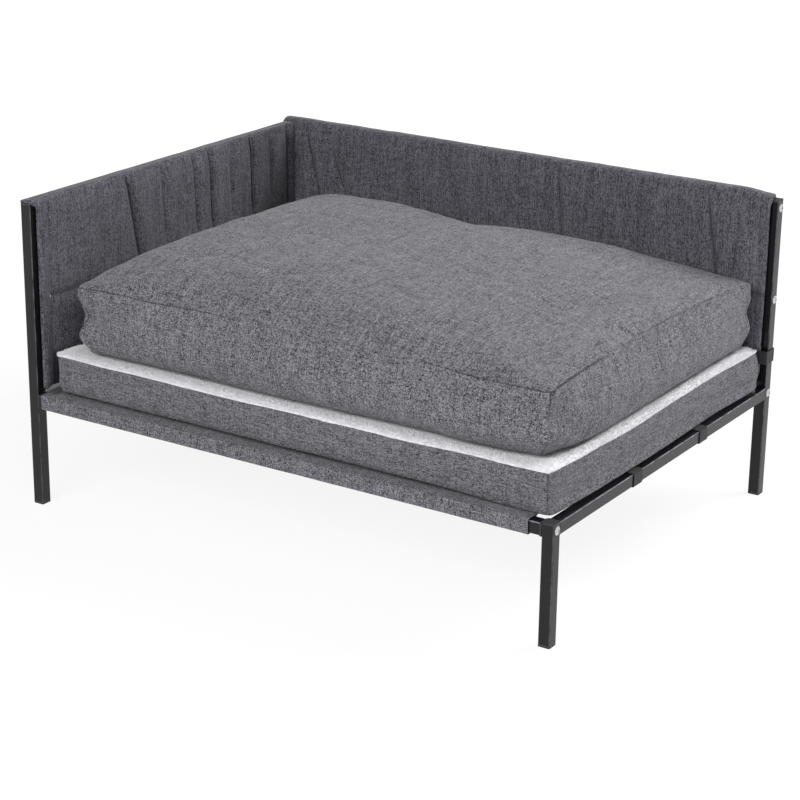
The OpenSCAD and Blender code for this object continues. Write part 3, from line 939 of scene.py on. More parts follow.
class BoxedPad:
    """A boxed pad: a top and a base joined by an upright border, in three grids of points."""

    under_edge = 0.06
    swell_reach = 0.11
    pinch_reach = 0.045
    waist_place, waist_width = 0.36, 0.15
    curl_start, curl_end = 0.60, 1.02

    def __init__(self, shape: PadShape, crown: Callable, rim: Callable, plan: Callable,
                 foot: Callable) -> None:
        """Lays out the three grids.

        Args:
            shape: the pad's sizes.
            crown: height of the top over its seam, from x and y grids.
            rim: height of the top seam, from x and y.
            plan: where the top seam's x and y go, from the straight box's.
            foot: where the bottom seam's x and y go, from the straight box's.
        """
        self.shape = shape
        s, t = np.meshgrid(
            np.linspace(-1, 1, shape.columns + 1), np.linspace(-1, 1, shape.rows + 1), indexing="ij"
        )
        half = (np.array(shape.high) - np.array(shape.low))[:2] / 2
        middle = (np.array(shape.high) + np.array(shape.low))[:2] / 2
        x, y = self.rounded(s * half[0], t * half[1], half)
        x = x - np.sign(s) * shape.waist * (1 - t**2) * s**2
        y = y - np.sign(t) * shape.waist * (1 - s**2) * t**2
        x, y = x + middle[0], y + middle[1]
        self.top = np.stack([*plan(x, y), rim(x, y) + crown(x, y)], -1)
        edge = 1 - np.maximum(abs(s), abs(t))
        lift = shape.underside * bell(edge, self.under_edge)
        self.base = np.stack([*foot(x, y), shape.low[2] + lift], -1)
        self.band = self.border()

    def rounded(self, x: np.ndarray, y: np.ndarray, half: np.ndarray) -> tuple:
        """Moves the points of a rectangle inwards so that its corners are round."""
        radius = self.shape.corner
        cx, cy = abs(x) - (half[0] - radius), abs(y) - (half[1] - radius)
        inside = (cx > 0) & (cy > 0)
        size = np.hypot(cx, cy)
        scale = np.where(inside, np.maximum(cx, cy) / np.maximum(size, 1e-9), 1.0)
        px = np.where(inside, np.sign(x) * (half[0] - radius + cx * scale), x)
        py = np.where(inside, np.sign(y) * (half[1] - radius + cy * scale), y)
        return px, py

    @staticmethod
    def loop(grid: np.ndarray) -> np.ndarray:
        """A grid's outline, anticlockwise from its first corner."""
        return np.concatenate([grid[:-1, 0], grid[-1, :-1], grid[:0:-1, -1], grid[0, :0:-1]])

    def border(self) -> np.ndarray:
        """Points of the border, from the top seam down to the bottom one."""
        shape = self.shape
        seam, foot = self.loop(self.top), self.loop(self.base)
        run = np.roll(seam, -1, 0)[:, :2] - np.roll(seam, 1, 0)[:, :2]
        away = unit(np.stack([run[:, 1], -run[:, 0]], 1))
        (x0, y0, _), (x1, y1, _) = shape.low, shape.high
        corners = np.array([(x0, y0), (x1, y0), (x1, y1), (x0, y1)])
        far = np.linalg.norm(seam[:, None, :2] - corners[None], axis=2)
        swell = shape.bulge * (1 - bell(far.min(1), self.swell_reach))
        nip = (np.array(shape.pinch) * bell(far, self.pinch_reach)).sum(1)
        v = np.linspace(0, 1, shape.bands + 1)
        turn = ease(v, self.curl_start, self.curl_end) ** 1.3
        drop = v + 0.10 * np.sin(math.pi * v)
        band = np.empty((len(seam), len(v), 3))
        waist = bell(v - self.waist_place, self.waist_width)
        out = swell[:, None] * np.sin(math.pi * v)[None] - nip[:, None] * waist[None]
        plan = seam[:, None, :2] * (1 - turn)[None, :, None]
        plan = plan + foot[:, None, :2] * turn[None, :, None]
        band[..., :2] = plan + away[:, None] * out[..., None]
        band[..., 2] = seam[:, None, 2] * (1 - drop)[None] + foot[:, None, 2] * drop[None]
        band[:, 0], band[:, -1] = seam, foot
        return band

    def points(self) -> np.ndarray:
        """All points: the top's, the border's without its seams, then the base's."""
        return np.concatenate(
            [self.top.reshape(-1, 3), self.band[:, 1:-1].reshape(-1, 3), self.base.reshape(-1, 3)]
        )

    def numbers(self) -> tuple[np.ndarray, np.ndarray, np.ndarray]:
        """Index of each point of the top, the border and the base among all points."""
        n = self.top.shape[0] * self.top.shape[1]
        top = np.arange(n).reshape(self.top.shape[:2])
        inner = self.band.shape[0] * (self.band.shape[1] - 2)
        middle = np.arange(inner).reshape(self.band.shape[0], -1) + n
        base = np.arange(n).reshape(self.base.shape[:2]) + n + inner
        band = np.concatenate([self.loop(top)[:, None], middle, self.loop(base)[:, None]], 1)
        return top, band, base

    def faces(self) -> np.ndarray:
        """Quads over the whole pad."""
        top, band, base = self.numbers()
        around = np.concatenate([band, band[:1]])
        return np.concatenate([quads(top), quads(around)[:, ::-1], quads(base)[:, ::-1]])

    def take(self, points: np.ndarray) -> None:
        """Moves every point to where the list says."""
        top, band, base = self.numbers()
        self.top, self.band, self.base = points[top], points[band], points[base]

    def settle(self, cut: "BoxedPad", pressure: float, cap: float, frames: int = 20) -> None:
        """Lets a cloth simulation blow the cover up, with its base held.

        Args:
            cut: the cover as it was cut and sewn, before it was filled.
            pressure: how hard the filling pushes.
            cap: the furthest that a point may move.
            frames: how long it runs.
        """
        start = self.points()
        mesh = bpy.data.meshes.new("settling")
        mesh.from_pydata(start.tolist(), [], self.faces().tolist())
        thing = bpy.data.objects.new("settling", mesh)
        bpy.context.scene.collection.objects.link(thing)
        thing.shape_key_add(name="settled")
        sewn = thing.shape_key_add(name="cut")
        sewn.data.foreach_set("co", cut.points().ravel())
        _, band, base = self.numbers()
        held, drawn = np.unique(base).tolist(), np.unique(band[:, [0, -1]]).tolist()
        for name, points in (("hold", held), ("draw", drawn)):
            thing.vertex_groups.new(name=name).add(points, 1.0, "REPLACE")
        cloth = thing.modifiers.new("settle", "CLOTH")
        rules = cloth.settings
        rules.quality = 5
        rules.mass = 0.25
        rules.tension_stiffness = rules.compression_stiffness = 60.0
        rules.shear_stiffness = 6.0
        rules.bending_stiffness = 0.5
        rules.air_damping = 2.0
        rules.use_pressure = True
        rules.uniform_pressure_force = pressure
        rules.rest_shape_key = sewn
        rules.vertex_group_mass = "hold"
        # The seams don't shrink, but without their group the cover settles a few mm elsewhere.
        rules.vertex_group_shrink = "draw"
        rules.shrink_min = rules.shrink_max = 0.0
        rules.effector_weights.gravity = 0.0
        cloth.collision_settings.use_collision = False
        scene = bpy.context.scene
        for step in range(1, frames + 1):
            scene.frame_set(step)
        shown = thing.evaluated_get(bpy.context.evaluated_depsgraph_get())
        moved = spots(shown.data) - start
        bpy.data.objects.remove(thing)
        bpy.data.meshes.remove(mesh)
        scene.frame_set(1)
        size = np.linalg.norm(moved, axis=1, keepdims=True)
        LOG.info("settled: mean %.1f mm, most %.1f mm", size.mean() / MM, size.max() / MM)
        soft = cap * np.tanh(size / cap)
        self.take(start + moved * soft / np.maximum(size, 1e-9))

    def refine(self) -> None:
        """Doubles the points of all three grids on smooth curves, and keeps the seams shared."""
        self.top = finer(finer(self.top, 0), 1)
        self.base = finer(finer(self.base, 0), 1)
        self.band = finer(finer(self.band, 0, cyclic=True), 1)
        self.share()

    def share(self) -> None:
        """Gives the top's and the base's outlines the border's own points."""
        for grid, row in ((self.top, self.band[:, 0]), (self.base, self.band[:, -1])):
            n, m = grid.shape[0] - 1, grid.shape[1] - 1
            grid[:-1, 0] = row[:n]
            grid[-1, :-1] = row[n : n + m]
            grid[:0:-1, -1] = row[n + m : 2 * n + m]
            grid[0, :0:-1] = row[2 * n + m :]

    def corner_marks(self) -> list[int]:
        """Where the four corners stand along the border."""
        n, m = self.top.shape[0] - 1, self.top.shape[1] - 1
        return [0, n, n + m, 2 * n + m]

    def flank(self, gap: float) -> None:
        """Adds a row of points on each side of every seam, so that a seam can be narrow.

        Args:
            gap: distance from the seam to the new rows.
        """
        marks = self.corner_marks()
        for axis in (0, 1):
            ends = [0, self.top.shape[axis] - 1]
            self.top = flanked(self.top, axis, ends, gap)
            self.base = flanked(self.base, axis, ends, gap)
        closed = np.concatenate([self.band, self.band[:1]])
        closed = flanked(closed, 0, marks + [len(closed) - 1], gap)
        self.band = flanked(closed[:-1], 1, [0, self.band.shape[1] - 1], gap)
        self.share()

    def relieve(self, top: Callable, band: Callable) -> None:
        """Raises and lowers the surface along its normals.

        Args:
            top: relief of the top, from its points.
            band: relief of the border, from its points.
        """
        up = facing(self.top)
        out = self.band_out()
        self.top = self.top + up * top(self.top)[..., None]
        self.band = self.band + out * band(self.band)[..., None]
        self.share()

    def band_out(self) -> np.ndarray:
        """Unit normals of the border, which point out."""
        closed = np.concatenate([self.band[-1:], self.band, self.band[:1]])
        return -facing(closed)[1:-1]

    def pull_seams(self, depth: Callable, corner_depth: float) -> None:
        """Draws the seams into the pad.

        Args:
            depth: how far the top and bottom seams go in, from their points.
            corner_depth: how far the upright corner seams go in.
        """
        out = self.band_out()
        up = self.loop(facing(self.top))
        down = -self.loop(facing(self.base))
        for row, other in ((0, up), (-1, down)):
            way = unit(out[:, row] + other)
            self.band[:, row] -= way * depth(self.band[:, row])[:, None]
        for mark in self.corner_marks():
            self.band[mark, 1:-1] -= out[mark, 1:-1] * corner_depth
        self.share()

    def painted_seam_shade(self, strength: Callable, corners: Sequence[float]) -> np.ndarray:
        """Paints shade on the seams' own points.

        Args:
            strength: painted shade of the top and bottom seams, from their points and their row.
            corners: painted shade of the four upright seams.

        Returns:
            One value for each point.
        """
        _, band, _ = self.numbers()
        marks = np.zeros(len(self.points()))
        for row in (0, -1):
            marks[band[:, row]] = strength(self.band[:, row], row)
        for corner, value in zip(self.corner_marks(), corners):
            marks[band[corner, 1:-1]] = value
        return marks

    def shrunk(self, x: float, y: float, z: float) -> "BoxedPad":
        """A smaller copy about the same middle, such as what fills the pad."""
        other = object.__new__(BoxedPad)
        other.shape = self.shape
        cloud = self.points()
        middle = (cloud.min(0) + cloud.max(0)) / 2
        for name in ("top", "band", "base"):
            setattr(other, name, middle + (getattr(self, name) - middle) * (x, y, z))
        return other

    def rear_face(self) -> np.ndarray:
        """The border's points along the rear side."""
        marks = self.corner_marks()
        return self.band[marks[2] : marks[3] + 1]

    def add_to(self, draft: Draft) -> None:
        """Adds the closed pad to a draft."""
        draft.add(self.points(), self.faces())


def as_it_is(x: np.ndarray, y: np.ndarray) -> tuple[np.ndarray, np.ndarray]:
    """Leaves a plan as it is."""
    return x, y


def flanked(grid: np.ndarray, axis: int, marks: Sequence[int], gap: float) -> np.ndarray:
    """Adds a row of points beside each marked row of a grid.

    Args:
        grid: the points.
        axis: the axis that the rows follow one another on.
        marks: the marked rows.
        gap: distance of the new rows from the marked ones.

    Returns:
        The grid with the new rows.
    """
    a = np.moveaxis(grid, axis, 0)
    rows = []
    for k in range(len(a)):
        rows.append(a[k])
        if k + 1 == len(a):
            break
        step = a[k + 1] - a[k]
        size = np.maximum(np.linalg.norm(step, axis=-1, keepdims=True), 1e-9)
        share = np.minimum(gap / size, 0.4)
        if k in marks:
            rows.append(a[k] + step * share)
        if k + 1 in marks:
            rows.append(a[k + 1] - step * share)
    return np.moveaxis(np.array(rows), 0, axis)


# ---------------------------------------------------------------- sub-assemblies


@dataclass(frozen=True)
class Fold:
    """One crease that runs up and down a panel, with a soft swell on each side."""

    place: float
    depth: float
    width: float
    top: float
    bottom: float
    lean: float = 0.0

    def relief(self, along: np.ndarray, height: np.ndarray) -> np.ndarray:
        """How far the cloth stands out, from its places along the panel and their heights."""
        far, reach = self.away(along, height), self.reach(height)
        swell = 0.8 * bell(far - 1.1, 1.0) + 0.4 * bell(far + 1.3, 1.0)
        return self.depth * reach * (swell - 1.5 * bell(far, 0.34))

    def away(self, along: np.ndarray, height: np.ndarray) -> np.ndarray:
        """Distance from the crease, in widths."""
        return (along - self.place - self.lean * (self.top - height)) / self.width

    def reach(self, height: np.ndarray) -> np.ndarray:
        """How strong the crease is at a height, from 0 to 1."""
        low = ease(height, self.bottom, self.bottom + 0.05)
        return low * ease(height, self.top + 0.004, self.top - 0.02)

    def mark(self, along: np.ndarray, height: np.ndarray) -> np.ndarray:
        """Painted shade in the crease: how deep in it a point lies, from 0 to 1."""
        line = bell(self.away(along, height), 0.17)
        return self.reach(height) * line * min(1.0, self.depth / (4.0 * MM))


@dataclass
class TubeFrame:
    """The welded end frames, the cross rails, their plugs and their screws."""

    steel: Sequence[str] = (
        "left_front_post", "left_rear_post", "right_rear_post", "right_front_leg",
        "left_lower_rail", "left_mid_rail", "left_top_rail", "right_lower_rail",
        "front_rail", "back_lower_rail", "back_mid_rail", "back_top_rail",
    )
    plastic: Sequence[str] = ("post_caps", "foot_plugs", "rail_end_plugs")
    zinc: Sequence[str] = ("captive_nuts", "frame_screws")

    def build(self) -> None:
        """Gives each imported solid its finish."""
        for names, finish in ((self.steel, STEEL), (self.plastic, PLASTIC), (self.zinc, ZINC)):
            for name in names:
                self.dress(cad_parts[name], finish)

    @staticmethod
    def dress(thing: bpy.types.Object, finish: Finish) -> None:
        """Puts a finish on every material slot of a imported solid."""
        if not thing.material_slots:
            thing.data.materials.append(finish.material())
        for slot in thing.material_slots:
            slot.material = finish.material()
        LOG.info("%s: %s", thing.name, finish.name)


@dataclass
class Sling:
    """The fabric deck with its two rail sleeves and four webbing loops."""

    cloth: float = 1.3 * MM
    tube: float = 20.0 * MM
    hem: float = 9.0 * MM
    sleeve_lap: float = 14.0 * MM
    bend: float = 4.0 * MM
    room: float = 1.5 * MM
    strap_gap: float = 1.3 * MM
    strap_width: float = 28 * MM
    frame_end: float = 0.5
    # Painted shade on the deck's left edge, under the side panel.
    edge_shade: float = 0.88

    def build(self) -> None:
        """Makes the deck, its stitching and its straps."""
        low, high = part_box("base_sling")
        self.low, self.high = low, high
        path = self.path()
        strip = ClothStrip(
            Plane.YZ, path, self.cloth, low.x + MM, high.x - MM, 150, side=-1.0, crowd=0.6,
        )
        draft = Draft()
        strip.add_to(draft, self.relief)
        deck = draft.piece("sling_deck", LINEN, Body.FRAME, "linen")
        # Painted shade along the deck's left edge, under the side panel, behind the front sleeve.
        x, y, z = spots(deck.data).T
        beside = ease(x, low.x + 24 * MM, low.x + 16 * MM)
        level = ease(z, high.z - 8 * MM, high.z - 2 * MM)
        behind = ease(y, low.y + 10 * MM, low.y + 19 * MM)
        paint_shade(deck, self.edge_shade * beside * level * behind)
        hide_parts("base_sling")
        straps = [
            self.straps("left_sling_straps", -1.0, low.x),
            self.straps("right_sling_straps", 1.0, high.x),
        ]
        seams = self.stitching()
        path_length(path)

    def path(self) -> np.ndarray:
        """From the front sleeve's seam, over the deck and round both rails to the back seam."""
        half = self.cloth / 2
        top = self.high.z - half
        inner = self.low.y + self.tube + 2 * (self.cloth + self.room) - half
        lap = top - self.cloth - 0.2 * MM
        outer, floor = self.low.y + half, self.low.z + half
        front = [
            (inner + self.sleeve_lap, lap), (inner, lap), (inner, floor), (outer, floor),
            (outer, top), (0.0, top),
        ]
        back = [(-y, z) for y, z in reversed(front[:-1])]
        return bent_path(front + back, self.bend, 9 * MM)

    def relief(self, grid: np.ndarray) -> tuple[np.ndarray, np.ndarray]:
        """Small ripples, which both sides of the cloth share, and doubled hems at the edges."""
        ripple = 0.35 * MM * lumps(grid, (0.05, 0.02, 0.02), 3)
        ripple += 0.25 * MM * lumps(grid, (0.014, 0.05, 0.05), 4)
        edge = np.minimum(grid[..., 0] - self.low.x, self.high.x - grid[..., 0])
        hem = 0.25 * MM * ease(edge, self.hem + 2 * MM, self.hem)
        rows = ease(abs(grid[..., 1]), 0.345, 0.352)
        return ripple * (1 - 0.5 * rows) + hem, -ripple * (1 - 0.5 * rows) + hem

    def stitching(self) -> bpy.types.Object:
        """Rows of thread along both hems and both sleeves, over and under the deck."""
        draft, thread = Draft(), Stitching()
        top = self.high.z + 0.2 * MM
        under = self.high.z - 2 * self.cloth - 0.6 * MM
        reach = self.high.y - self.tube - 8 * MM
        for x in (self.low.x + self.hem, self.high.x - self.hem):
            line = np.array([(x, y, top) for y in np.linspace(-reach, reach, 60)])
            thread.sew(draft, line, UP)
            thread.sew(draft, line * (1, 1, 0) + (0, 0, top - self.cloth - 0.5 * MM), DOWN)
        run = np.linspace(self.low.x + 4 * MM, self.high.x - 4 * MM, 90)
        for side in (-1, 1):
            for inset in (3 * MM, 9 * MM):
                y = side * (self.high.y - self.tube - 5 * MM - inset)
                line = np.array([(x, y, top) for x in run])
                thread.sew(draft, line, UP)
                thread.sew(draft, line * (1, 1, 0) + (0, 0, under), DOWN)
        return draft.piece("sling_stitching", THREAD, Body.FRAME, "linen")

    def straps(self, node: str, side: float, edge: float) -> bpy.types.Object:
        """Two webbing loops round one rail, sewn under the deck.

        Args:
            node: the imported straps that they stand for.
            side: -1 for the left rail, 1 for the right one.
            edge: where the deck ends.

        Returns:
            The straps, in one piece.
        """
        low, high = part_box(node)
        half = WEBBING_HALF
        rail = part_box("left_lower_rail" if side < 0 else "right_lower_rail")
        snug = PLAY + half
        out_x = (rail[0].x if side < 0 else rail[1].x) + side * snug
        in_x = side * (self.frame_end - self.tube) - side * (self.strap_gap + half)
        sewn = edge - side * 20 * MM
        top, bottom = rail[1].z + snug, rail[0].z - snug
        under = self.high.z - self.cloth - 0.4 * MM - half
        back = under - 2.4 * half
        corners = [
            (sewn, under), (edge + side * 4 * MM, under), (in_x, top), (out_x, top),
            (out_x, bottom), (in_x, bottom), (in_x - side * MM, back), (sewn, back),
        ]
        path = bent_path(corners, 2.6 * MM, 4 * MM)
        width, inset, face = self.strap_width, 3 * MM, under - 3.5 * half
        toward = math.copysign(inset, edge - sewn)
        across = sorted((sewn + toward, edge - toward))
        draft, thread = Draft(), Draft()
        for y in (low.y, high.y - width):
            strip = ClothStrip(Plane.XZ, path, 2 * half, y, y + width, 12, side=side)
            strip.add_to(draft, self.web_relief(y, width))
            along = (y + inset, y + width - inset)
            Stitching.box(thread, across, along, lambda a, b: (a, b, face), DOWN)
        made = draft.piece(node.replace("_straps", "_webbing"), WEBBING, Body.FRAME, "webbing")
        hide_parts(node)
        name = node.replace("_straps", "_box_stitch")
        sewing = thread.piece(name, BLACK_THREAD, Body.FRAME, "webbing")
        sewing.parent = made
        return made

    @staticmethod
    def web_relief(low: float, width: float) -> Relief:
        """A relief that makes the webbing thinner at both selvedges."""

        def relief(grid: np.ndarray) -> tuple[np.ndarray, np.ndarray]:
            """Thins the selvedges and lets the strap waver."""
            edge = np.minimum(grid[..., 1] - low, low + width - grid[..., 1])
            thin = -0.2 * MM * ease(edge, 1.5 * MM, 0.0)
            sway = 0.12 * MM * lumps(grid, (0.012, 0.012, 0.012), 8)
            return thin + sway, thin - sway

        return relief


class Panel:
    """What the two padded panels share: they hang over a top rail like a saddle."""

    name = "panel"
    plane = Plane.XZ
    side = 1.0
    along = 1
    hem = 12 * MM
    seam_height = 0.360
    # Painted shade on the quilting line.
    seam_shade = 0.8
    deepest = 0.9 * MM
    folds: Sequence[Fold] = ()

    def wall(self, grid: np.ndarray) -> np.ndarray:
        """1 on the padded inner wall, 0 on the rest."""
        raise NotImplementedError

    def padding(self, height: np.ndarray, near: np.ndarray, foot: float) -> np.ndarray:
        """How far the padding swells between its sewn lines.

        Args:
            height: heights of the points.
            near: distance to the nearest upright hem.
            foot: height of the bottom hem.

        Returns:
            The swell, which falls to nothing at every sewn line.
        """
        seam = abs(height - self.seam_height)
        swell = 1 - np.exp(-(seam / 0.009) ** 1.3)
        swell *= 1 - np.exp(-(np.maximum(near - self.hem, 0) / 0.022) ** 1.2)
        swell *= 1 - np.exp(-(np.maximum(height - foot - self.hem, 0) / 0.020) ** 1.2)
        return swell

    def creases(self, grid: np.ndarray) -> np.ndarray:
        """The panel's folds and small wrinkles, before they fade at its edges."""
        along, height = grid[..., self.along], grid[..., 2]
        out = 0.9 * MM * lumps(grid, (0.045, 0.045, 0.16), 11)
        out += 0.5 * MM * lumps(grid, (0.018, 0.018, 0.09), 12)
        for fold in self.folds:
            out += fold.relief(along, height)
        return out

    def quilting(self, height: np.ndarray, width: float) -> np.ndarray:
        """How near a height is to the quilting line, from 0 to 1."""
        return bell(height - self.seam_height, width)

    def stitching(self, strip: ClothStrip, outer: np.ndarray, middle: float, hem: float,
                  up: np.ndarray) -> None:
        """Thread along the upright hem, the bottom hem and the quilting line.

        Args:
            strip: the cover's strip of cloth.
            outer: its outer side.
            middle: where the inner wall's middle surface stands.
            hem: place of the upright hem's thread along the panel.
            up: the inner wall's normal.
        """
        draft, thread = Draft(), Stitching()
        inner = np.flatnonzero((strip.path[:, 0] - middle) * self.side > -MM)
        thread.sew(draft, outer[inner, np.argmin(abs(outer[inner[5], :, self.along] - hem))], up)
        for height in (self.low.z + self.hem, self.seam_height):
            row = inner[np.argmin(abs(strip.path[inner, 1] - height))]
            thread.sew(draft, outer[row, 3:-3], up)
        draft.piece(f"{self.name}_stitching", THREAD, Body.FRAME, "linen")

    def marks(self, grid: np.ndarray) -> np.ndarray:
        """Painted shade on the inner wall: how deep in a crease or the quilting line each point
        lies.
        """
        along, height = grid[..., self.along], grid[..., 2]
        line = self.seam_shade * self.quilting(height, 2.2 * MM)
        for fold in self.folds:
            line = np.maximum(line, fold.mark(along, height))
        return line * self.wall(grid)


@dataclass
class SidePanel(Panel):
    """The panel over the left end frame."""

    cover: float = 1.5 * MM
    front_inset: float = 13 * MM
    front_hem: float = 21 * MM
    front_roll: float = 4.2 * MM
    pad_swell: float = 5.5 * MM
    # Painted shade: in the gap by the mattress, over the whole inner wall, and growing toward the
    # rear corner.
    gap_shade: float = 0.8
    wall_shade: float = 0.12
    rear_shade: float = 0.36
    folds: Sequence[Fold] = (
        Fold(-0.145, 3.6 * MM, 17 * MM, 0.532, 0.34, 0.19),
        Fold(-0.052, 1.8 * MM, 15 * MM, 0.522, 0.36, 0.08),
        Fold(0.038, 2.4 * MM, 14 * MM, 0.527, 0.36, 0.06),
        Fold(0.084, 3.4 * MM, 14 * MM, 0.532, 0.36, 0.04),
        Fold(0.142, 1.8 * MM, 15 * MM, 0.520, 0.37, 0.05),
        Fold(0.206, 3.8 * MM, 15 * MM, 0.532, 0.36, 0.03),
        Fold(0.262, 2.6 * MM, 15 * MM, 0.524, 0.37, 0.05),
        Fold(0.320, 3.8 * MM, 17 * MM, 0.532, 0.34, 0.02),
    )

    name = "side_panel"

    def build(self) -> None:
        """Makes the cover, its stitching and the batting in it."""
        self.low, self.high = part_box("side_panel_cover")
        self.pad_low, self.pad_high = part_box("side_panel_batting")
        self.inner_x = (self.pad_low.x + self.pad_high.x) / 2
        self.wall_t = 2 * (self.high.x - self.inner_x)
        self.post_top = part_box("post_caps")[1].z
        strip = self.strip()
        draft = Draft()
        outer = strip.add_to(draft, self.relief)
        cover = draft.piece("side_panel_quilt", PANEL_LINEN, Body.FRAME, "linen")
        grid = spots(cover.data)
        # Painted shade: dark in the gap above the mattress near the front, a little over the whole
        # inner wall, and more toward the rear corner.
        behind = grid[:, 1] - self.low.y
        gap = ease(grid[:, 2], 0.274, 0.256) * ease(behind, 28 * MM, 35 * MM)
        gap = gap * ease(behind, 100 * MM, 45 * MM)
        rear = ease(self.high.y - grid[:, 1], 0.26, 0.06)
        shade = np.maximum(self.gap_shade * gap, self.wall_shade + self.rear_shade * rear)
        paint_shade(cover, np.maximum(self.marks(grid), shade * self.wall(grid)))
        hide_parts("side_panel_cover")
        hem = self.low.y + self.front_inset + self.front_hem
        self.stitching(strip, outer, self.inner_x, hem, RIGHT)
        batting(self, "side_panel_wadding", "side_panel_batting")

    def strip(self) -> ClothStrip:
        """The saddle's path, from the inner hem up, over the rail and down outside."""
        roof = (self.post_top + PLAY + self.high.z) / 2
        outside = self.low.x + self.cover / 2
        corners = [
            (self.inner_x, self.low.z), (self.inner_x, roof), (outside, roof),
            (outside, self.low.z),
        ]
        path = bent_path(corners, 4.5 * MM, 4 * MM)
        over = ease(path[:, 0], self.inner_x, self.inner_x - 9 * MM)
        out = ease(path[:, 0], outside + 8 * MM, outside)
        roll = self.high.z - self.post_top - PLAY
        thick = self.wall_t + (roll - self.wall_t) * over + (self.cover - roll) * out
        front = self.low.y + self.front_inset
        cap = ease(path[:, 1], self.post_top - 8 * MM, self.post_top + 2 * MM)
        low = front + (self.low.y - front) * cap
        low = low + 6 * MM * out * (1 - cap)
        return ClothStrip(self.plane, path, thick, low, self.high.y, 460)

    def wall(self, grid: np.ndarray) -> np.ndarray:
        """1 on the inner wall, 0 on the roll and the outer wall."""
        return ease(grid[..., 0], self.inner_x - 6 * MM, self.inner_x)

    def relief(self, grid: np.ndarray) -> tuple[np.ndarray, np.ndarray]:
        """Padding, folds, the rolled front hem and the quilting line of the inner wall."""
        wall = self.wall(grid)
        y, z = grid[..., 1], grid[..., 2]
        from_front = y - (self.low.y + self.front_inset)
        near = np.minimum(from_front, self.high.y - y + 20 * MM)
        swell = self.padding(z, near, self.low.z)
        upper = ease(z, self.high.z + 4 * MM, self.high.z - 30 * MM)
        out = self.pad_swell * swell * upper
        fade = ease(near, 10 * MM, 40 * MM) * ease(z, self.low.z + 0.01, self.low.z + 0.05)
        above = ease(z, self.seam_height, self.seam_height + 0.03)
        out += self.creases(grid) * fade * (0.35 + 0.65 * above)
        out -= 1.0 * MM * self.quilting(z, 3.4 * MM) * ease(from_front, 0, 10 * MM)
        out = np.maximum(out, -self.deepest)
        hem = bell(from_front - 5 * MM, 9 * MM)
        out += self.front_roll * hem * ease(z, self.high.z + 2 * MM, self.high.z - 18 * MM)
        out -= 1.6 * MM * bell(from_front - self.front_hem, 3 * MM)
        out -= 1.3 * MM * ease(z, self.low.z + 14 * MM, self.low.z + 4 * MM)
        roll = 0.5 * MM * lumps(grid, (0.03, 0.035, 0.03), 21) * (1 - wall)
        return out * wall + roll, np.zeros_like(out)


